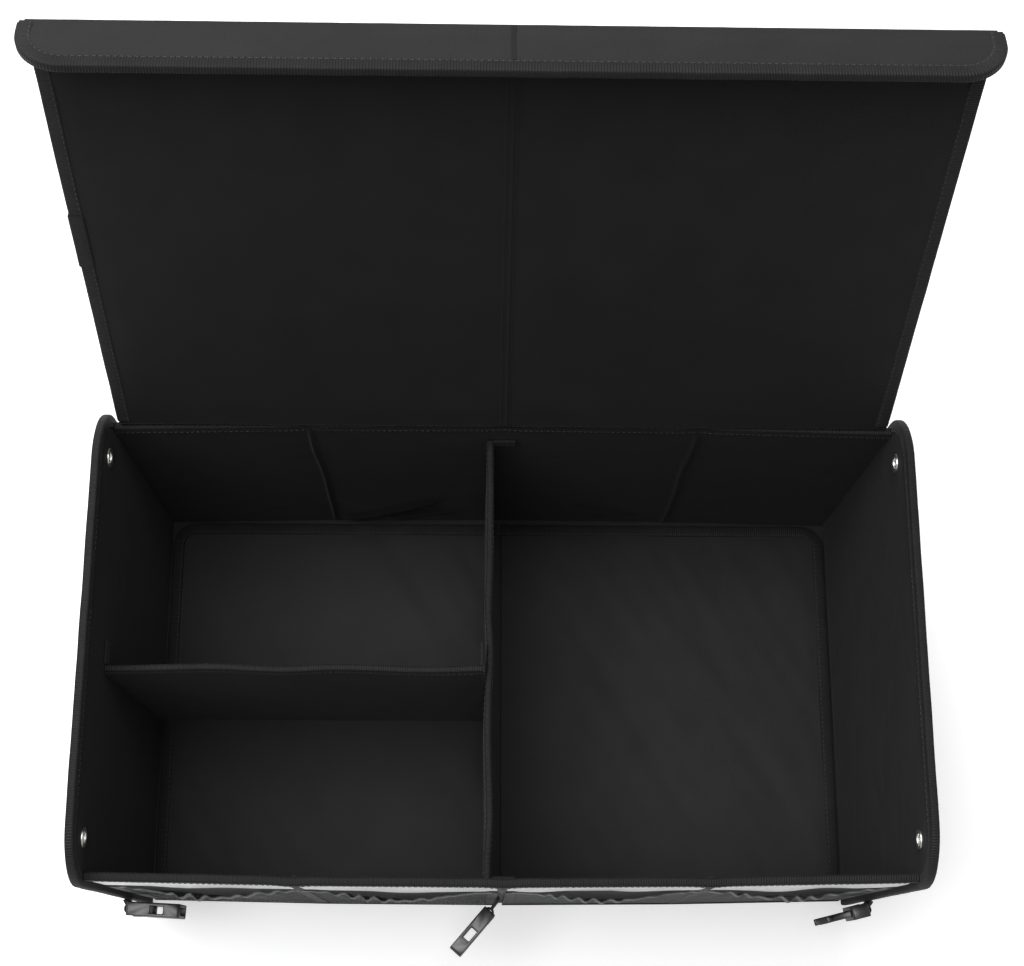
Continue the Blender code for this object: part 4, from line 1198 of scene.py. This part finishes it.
class ORGANIZER_OT_bindings(bpy.types.Operator):
    """Ribbed ribbon folded over every panel's edge, with its rows of stitches"""
    bl_idname = "organizer.bindings"
    bl_label = "Edge ribbons"

    def execute(self, context):
        rows = {"box": [], "lid": [], "lip": []}
        lid_up, lip_up = lid_point(0, 0, 1) - HINGE, lip_point(0, 0, 1) - lip_point(0, 0, 0)

        def bind(name, path, normal, seed, body, *nodes, **form):
            own(ribbon(name, path, normal, seed, **form), body, "binding", *nodes)

        for index, (label, side) in enumerate(SIDES):
            middle = side * (HALF_WIDTH + PANEL / 2)
            bind(f"{label}_edge_ribbon", side_edge(MID_RIBBON, middle), X_AXIS, 3 + index, "box",
                 f"{label}_binding")
            rows["box"] += [side_edge(STITCH_IN, middle + sign * FACE) for sign in (-1, 1)]
            z = BASE_TOP - PANEL / 2
            bind(f"base_{label}_edge_ribbon", base_edge(side, MID_RIBBON, z), Z_AXIS, 7 + index, "box",
                 f"base_{label}_binding", wobble=0.0006)
            rows["box"].append(base_edge(side, STITCH_IN, z + FACE))
            bind(f"lid_{label}_edge_ribbon", lid_edge(side, MID_RIBBON, 0.0), lid_up, 11 + index, "lid",
                 f"lid_binding_{label}")
            rows["lid"] += [lid_edge(side, STITCH_IN, sign * FACE) for sign in (-1, 1)]
        bind("lid_ribbon_lap", lid_edge(-1, MID_RIBBON - 0.0004, 0.0, *LAP), lid_up, 13, "lid",
             across=PANEL + 2 * RIBBON_SIDE + 0.0012, depth=LEG + EDGE + 0.0010, wobble=0.0004)
        for index, (label, side) in enumerate(ENDS):
            bind(f"{label}_edge_ribbon", wall_edge(side, WALL_TOP - MID_RIBBON, PANEL / 2), Y_AXIS,
                 15 + index, "box", f"{label}_binding")
            rows["box"] += [wall_edge(side, WALL_TOP - STITCH_IN, PANEL / 2 + sign * FACE)
                            for sign in (-1, 1)]
        bind("lip_edge_ribbon", lip_edge(MID_RIBBON, 0.0), lip_up, 19, "lip", "lip_binding")
        rows["lip"] += [lip_edge(STITCH_IN, sign * FACE) for sign in (-1, 1)]
        inner = CENTRE_REACH - 0.0015
        centre = [(CENTRE_X + sway(y, CENTRE_TOP, CENTRE_TOP), y) for y in stations(-inner, inner, 0.006)]
        cross = [(x, CROSS_Y + sway(x, CROSS_TOP, CROSS_TOP))
                 for x in stations(CROSS_START + 0.0015, CROSS_END - 0.0015, 0.006)]
        for label, plan, top, normal, seed in (("centre", centre, CENTRE_TOP, X_AXIS, 23),
                                               ("cross", cross, CROSS_TOP, Y_AXIS, 25)):
            bind(f"{label}_divider_edge_ribbon", [(x, y, top - MID_RIBBON) for x, y in plan], normal, seed,
                 "box", f"{label}_divider_binding", across=2 * THIN_FACE)
            for face in (-THIN_FACE, THIN_FACE):
                rows["box"].append([(x + face * normal[0], y + face * normal[1], top - STITCH_IN)
                                    for x, y in plan])
        tab, down, inwards = (0.0030, TAB_REACH), 0.0036, 0.0018
        for where, side in ENDS:
            path = [(CENTRE_X + x, side * (CENTRE_REACH - inwards), CENTRE_TOP - down) for x in tab]
            bind(f"centre_tab_{where}_ribbon", path, Y_AXIS, 27 + side, "box", **TAB_RIBBON)
        for where, x in (("left", CROSS_START + inwards), ("right", CROSS_END - inwards)):
            path = [(x, CROSS_Y + y, CROSS_TOP - down) for y in tab]
            bind(f"cross_tab_{where}_ribbon", path, X_AXIS, 29, "box", **TAB_RIBBON)
        for body, seed in (("box", 5), ("lid", 6), ("lip", 7)):
            stitches(f"{body}_stitches", rows[body], seed, body)
        return {"FINISHED"}


# Reflective strip and net pockets

class ORGANIZER_OT_strip(bpy.types.Operator):
    """Silver reflective strip under the front wall's ribbon"""
    bl_idname = "organizer.strip"
    bl_label = "Reflective strip"

    def execute(self, context):
        end = WALL_END - 0.004

        def swell(s, t):
            pleated = 1.0 if seam_gap(s) > 0.012 else 0.0
            edge = drawn_in(min(t - STRIP_LOW, STRIP_HIGH - t), 0.008)
            return front_puff(s, t) * pleated + 0.0004 * (0.6 + ripple(s, t, 0.04, 113)) * edge

        sewn("silver_strip", stations(-end, end, 0.003), lambda s: (STRIP_LOW, STRIP_HIGH),
             lambda s, t, d: Vector((s, front_y(s, 0.0008 + d), t)), swell,
             ("box", "reflective", "reflective_strip"), (2 * end, STRIP_HIGH - STRIP_LOW),
             ["front_sheet_outside"], thickness=0.0005, cell=0.004)
        return {"FINISHED"}


def net_face(side, s, t):
    """Y of a pocket's net: flat at its foot, sides and middle seam, gathered out towards its hem."""
    for start, end in BAYS:
        if start <= s <= end:
            share = (s - start) / (end - start)
            swell = POCKET_BULGE * math.sin(math.pi * share) ** 2
            rise = (t - POCKET_FOOT) / (POCKET_TOP - POCKET_FOOT)
            gather = GATHER_HEIGHT * math.sin(math.tau * s / GATHER + 4.0 * ripple(s, side, 0.03, 119))
            gather *= 0.5 + 1.5 * ripple(s, side, 0.024, 123)
            gather *= rise ** 2 * math.sin(math.pi * share) ** 0.5
            return front_y(side * s, NET_GAP + swell * rise ** 2 + gather)
    return front_y(side * s, NET_GAP)


class ORGANIZER_OT_pockets(bpy.types.Operator):
    """Knitted net pockets with a gathered elastic hem and sewn-down tapes"""
    bl_idname = "organizer.pockets"
    bl_label = "Net pockets"

    def execute(self, context):
        sizes = context.scene.organizer_sizes
        for label, side in SIDES:
            lattice = self.lattice(f"net_pocket_{label}", side, sizes.net_cell)
            net = grown(lattice, "net", Strand=sizes.net_strand, Sides=3, Material=MATERIALS["net"])
            own(net, "box", "net", f"pocket_{label}")
            self.hem(label, side)
            self.tapes(label, side)
        return {"FINISHED"}

    def lattice(self, name, side, cell):
        """Diamond net on the pocket's surface, gathered more closely near its hem."""
        work = bmesh.new()
        start, end = BAYS[0][0], BAYS[1][1]
        columns = 2 * round((end - start) / cell)
        rows = 2 * round((POCKET_TOP - POCKET_FOOT) / cell)
        points = {}
        for i in range(columns + 1):
            for j in range(rows + 1):
                if (i + j) % 2 == 0:
                    s = start + (end - start) * i / columns
                    t = POCKET_FOOT + (POCKET_TOP - POCKET_FOOT) * j / rows
                    aside = NET_LOOSE * ripple(s, t, 0.05, 121 + side) * math.sin(math.pi * j / rows)
                    points[i, j] = work.verts.new((side * (s + aside), net_face(side, s, t), t))
        for (i, j), point in points.items():
            for step in (1, -1):
                other = points.get((i + step, j + 1))
                if other is not None:
                    work.edges.new((point, other))
        return link(name, meshed(name, work))

    def hem(self, label, side):
        """Elastic band along the net's mouth, gathered into small pleats."""
        for index, (start, end) in enumerate(BAYS):
            seed = 131 + 2 * index + side

            def world(s, t, d):
                away = max(0.0, math.sin(math.pi * (s - start) / (end - start))) ** 0.5
                return Vector((side * s, net_face(side, s, POCKET_TOP) - 0.0008 - d,
                               t + 0.0016 * away * ripple(s, t, 0.03, seed + 3)))

            sewn(f"hem_band_{label}_{index + 1}", stations(start + 0.0004, end - 0.0004, 0.0012),
                 lambda s: (POCKET_TOP - HEM, POCKET_TOP + 0.0005), world, level, ("box", "net"),
                 (HEM_FULLNESS * (end - start), HEM + 0.0005), [f"net_pocket_{label}"], held="gathered",
                 look="net", thickness=0.0009, cell=0.003)

    def tapes(self, label, side):
        """Flat tapes that sew the net to the wall at its foot, its ends and between its bays."""
        def tape(name, ends, run, out, flat, width, cell):
            sewn(name, stations(ends[0] - POCKET_TAPE, ends[1] + POCKET_TAPE, width), lambda s: run,
                 lambda s, t, d: Vector((side * s, front_y(side * s, out + d), t)), level,
                 ("box", "binding"), flat, ["front_sheet_outside"], look="cloth", thickness=0.0006, cell=cell)

        start, middle, end = BAYS[0][0], BAYS[0][1], BAYS[1][1]
        for index, s0 in enumerate((start, middle, end)):
            tape(f"pocket_tape_{label}_{index + 1}", (s0, s0), (POCKET_FOOT, POCKET_TOP), 0.0016,
                 (0.010, POCKET_TOP - POCKET_FOOT), 0.002, 0.006)
        tape(f"pocket_foot_tape_{label}", (start, end), (POCKET_FOOT - 0.002, POCKET_FOOT + 0.007), 0.0021,
             (end - start + 2 * POCKET_TAPE, 0.010), 0.004, 0.003)


# Buckles

SHELL_ROUNDING = 0.0006
WEBBING_ROUNDING = 0.0003


class ORGANIZER_OT_buckles(bpy.types.Operator):
    """Side-release buckle halves and their webbing loops"""
    bl_idname = "organizer.buckles"
    bl_label = "Buckles and webbing"

    def execute(self, context):
        halves = (("buckle_left_socket", "left_socket_shell", "left_buckle"),
                  ("buckle_centre_socket", "centre_socket_shell", "centre_buckle"),
                  ("buckle_right_prong", "right_prong_shell", "right_buckle"))
        for node, name, body in halves:
            own(self.softened(node, name, SHELL_ROUNDING), body, "plastic", node)
        for where in ("left", "centre", "right"):
            loop = self.softened(f"webbing_{where}", f"{where}_webbing_loop", WEBBING_ROUNDING)
            own(loop, "box", "webbing", f"webbing_{where}")
        return {"FINISHED"}

    def softened(self, node, name, width):
        """Merged copy of a frame node with its edges rounded."""
        mesh = frame["nodes"][node].data.copy()
        mesh.name = name
        mesh.materials.clear()
        work = bmesh.new()
        work.from_mesh(mesh)
        bmesh.ops.remove_doubles(work, verts=work.verts, dist=0.00001)
        bmesh.ops.dissolve_limit(work, angle_limit=math.radians(2), verts=work.verts, edges=work.edges)
        work.to_mesh(mesh)
        work.free()
        thing = link(name, mesh)
        step = thing.modifiers.new("rounded", "BEVEL")
        step.width = width
        step.segments = 2
        step.limit_method = "ANGLE"
        step.angle_limit = math.radians(35)
        step.use_clamp_overlap = True
        made = baked(thing)
        made.data.shade_smooth()
        made.data.set_sharp_from_angle(angle=math.radians(40))
        return made


class ORGANIZER_PT_panel(bpy.types.Panel):
    """Steps of the organizer in the 3D view's sidebar"""
    bl_idname = "ORGANIZER_PT_panel"
    bl_label = "Car organizer"
    bl_space_type = "VIEW_3D"
    bl_region_type = "UI"
    bl_category = "Organizer"

    def draw(self, context):
        for group in (context.scene.organizer_sizes, context.scene.organizer_colours):
            for key in group.bl_rna.properties.keys():
                if key not in ("rna_type", "name"):
                    self.layout.prop(group, key)
        for step in STEPS:
            self.layout.operator(step.bl_idname)


STEPS = (ORGANIZER_OT_stage, ORGANIZER_OT_boards, ORGANIZER_OT_walls, ORGANIZER_OT_side_panels,
         ORGANIZER_OT_eyelets, ORGANIZER_OT_base_panels, ORGANIZER_OT_dividers, ORGANIZER_OT_lid,
         ORGANIZER_OT_lip, ORGANIZER_OT_bindings, ORGANIZER_OT_strip, ORGANIZER_OT_pockets,
         ORGANIZER_OT_buckles)
CLASSES = (OrganizerSizes, OrganizerColours, *STEPS, ORGANIZER_PT_panel)


def register():
    for kind in CLASSES:
        bpy.utils.register_class(kind)
    bpy.types.Scene.organizer_sizes = bpy.props.PointerProperty(type=OrganizerSizes)
    bpy.types.Scene.organizer_colours = bpy.props.PointerProperty(type=OrganizerColours)


def unregister():
    del bpy.types.Scene.organizer_sizes
    del bpy.types.Scene.organizer_colours
    for kind in reversed(CLASSES):
        bpy.utils.unregister_class(kind)


def main():
    register()
    scene = bpy.context.scene
    make_materials(scene.organizer_colours, scene.organizer_sizes)
    bpy.ops.organizer.stage()
    bpy.ops.organizer.boards()
    bpy.ops.organizer.walls()
    bpy.ops.organizer.side_panels()
    bpy.ops.organizer.eyelets()
    bpy.ops.organizer.base_panels()
    bpy.ops.organizer.dividers()
    bpy.ops.organizer.lid()
    bpy.ops.organizer.lip()
    bpy.ops.organizer.bindings()
    bpy.ops.organizer.strip()
    bpy.ops.organizer.pockets()
    bpy.ops.organizer.buckles()
    bpy.context.view_layer.update()


if __name__ == "__main__":
    main()
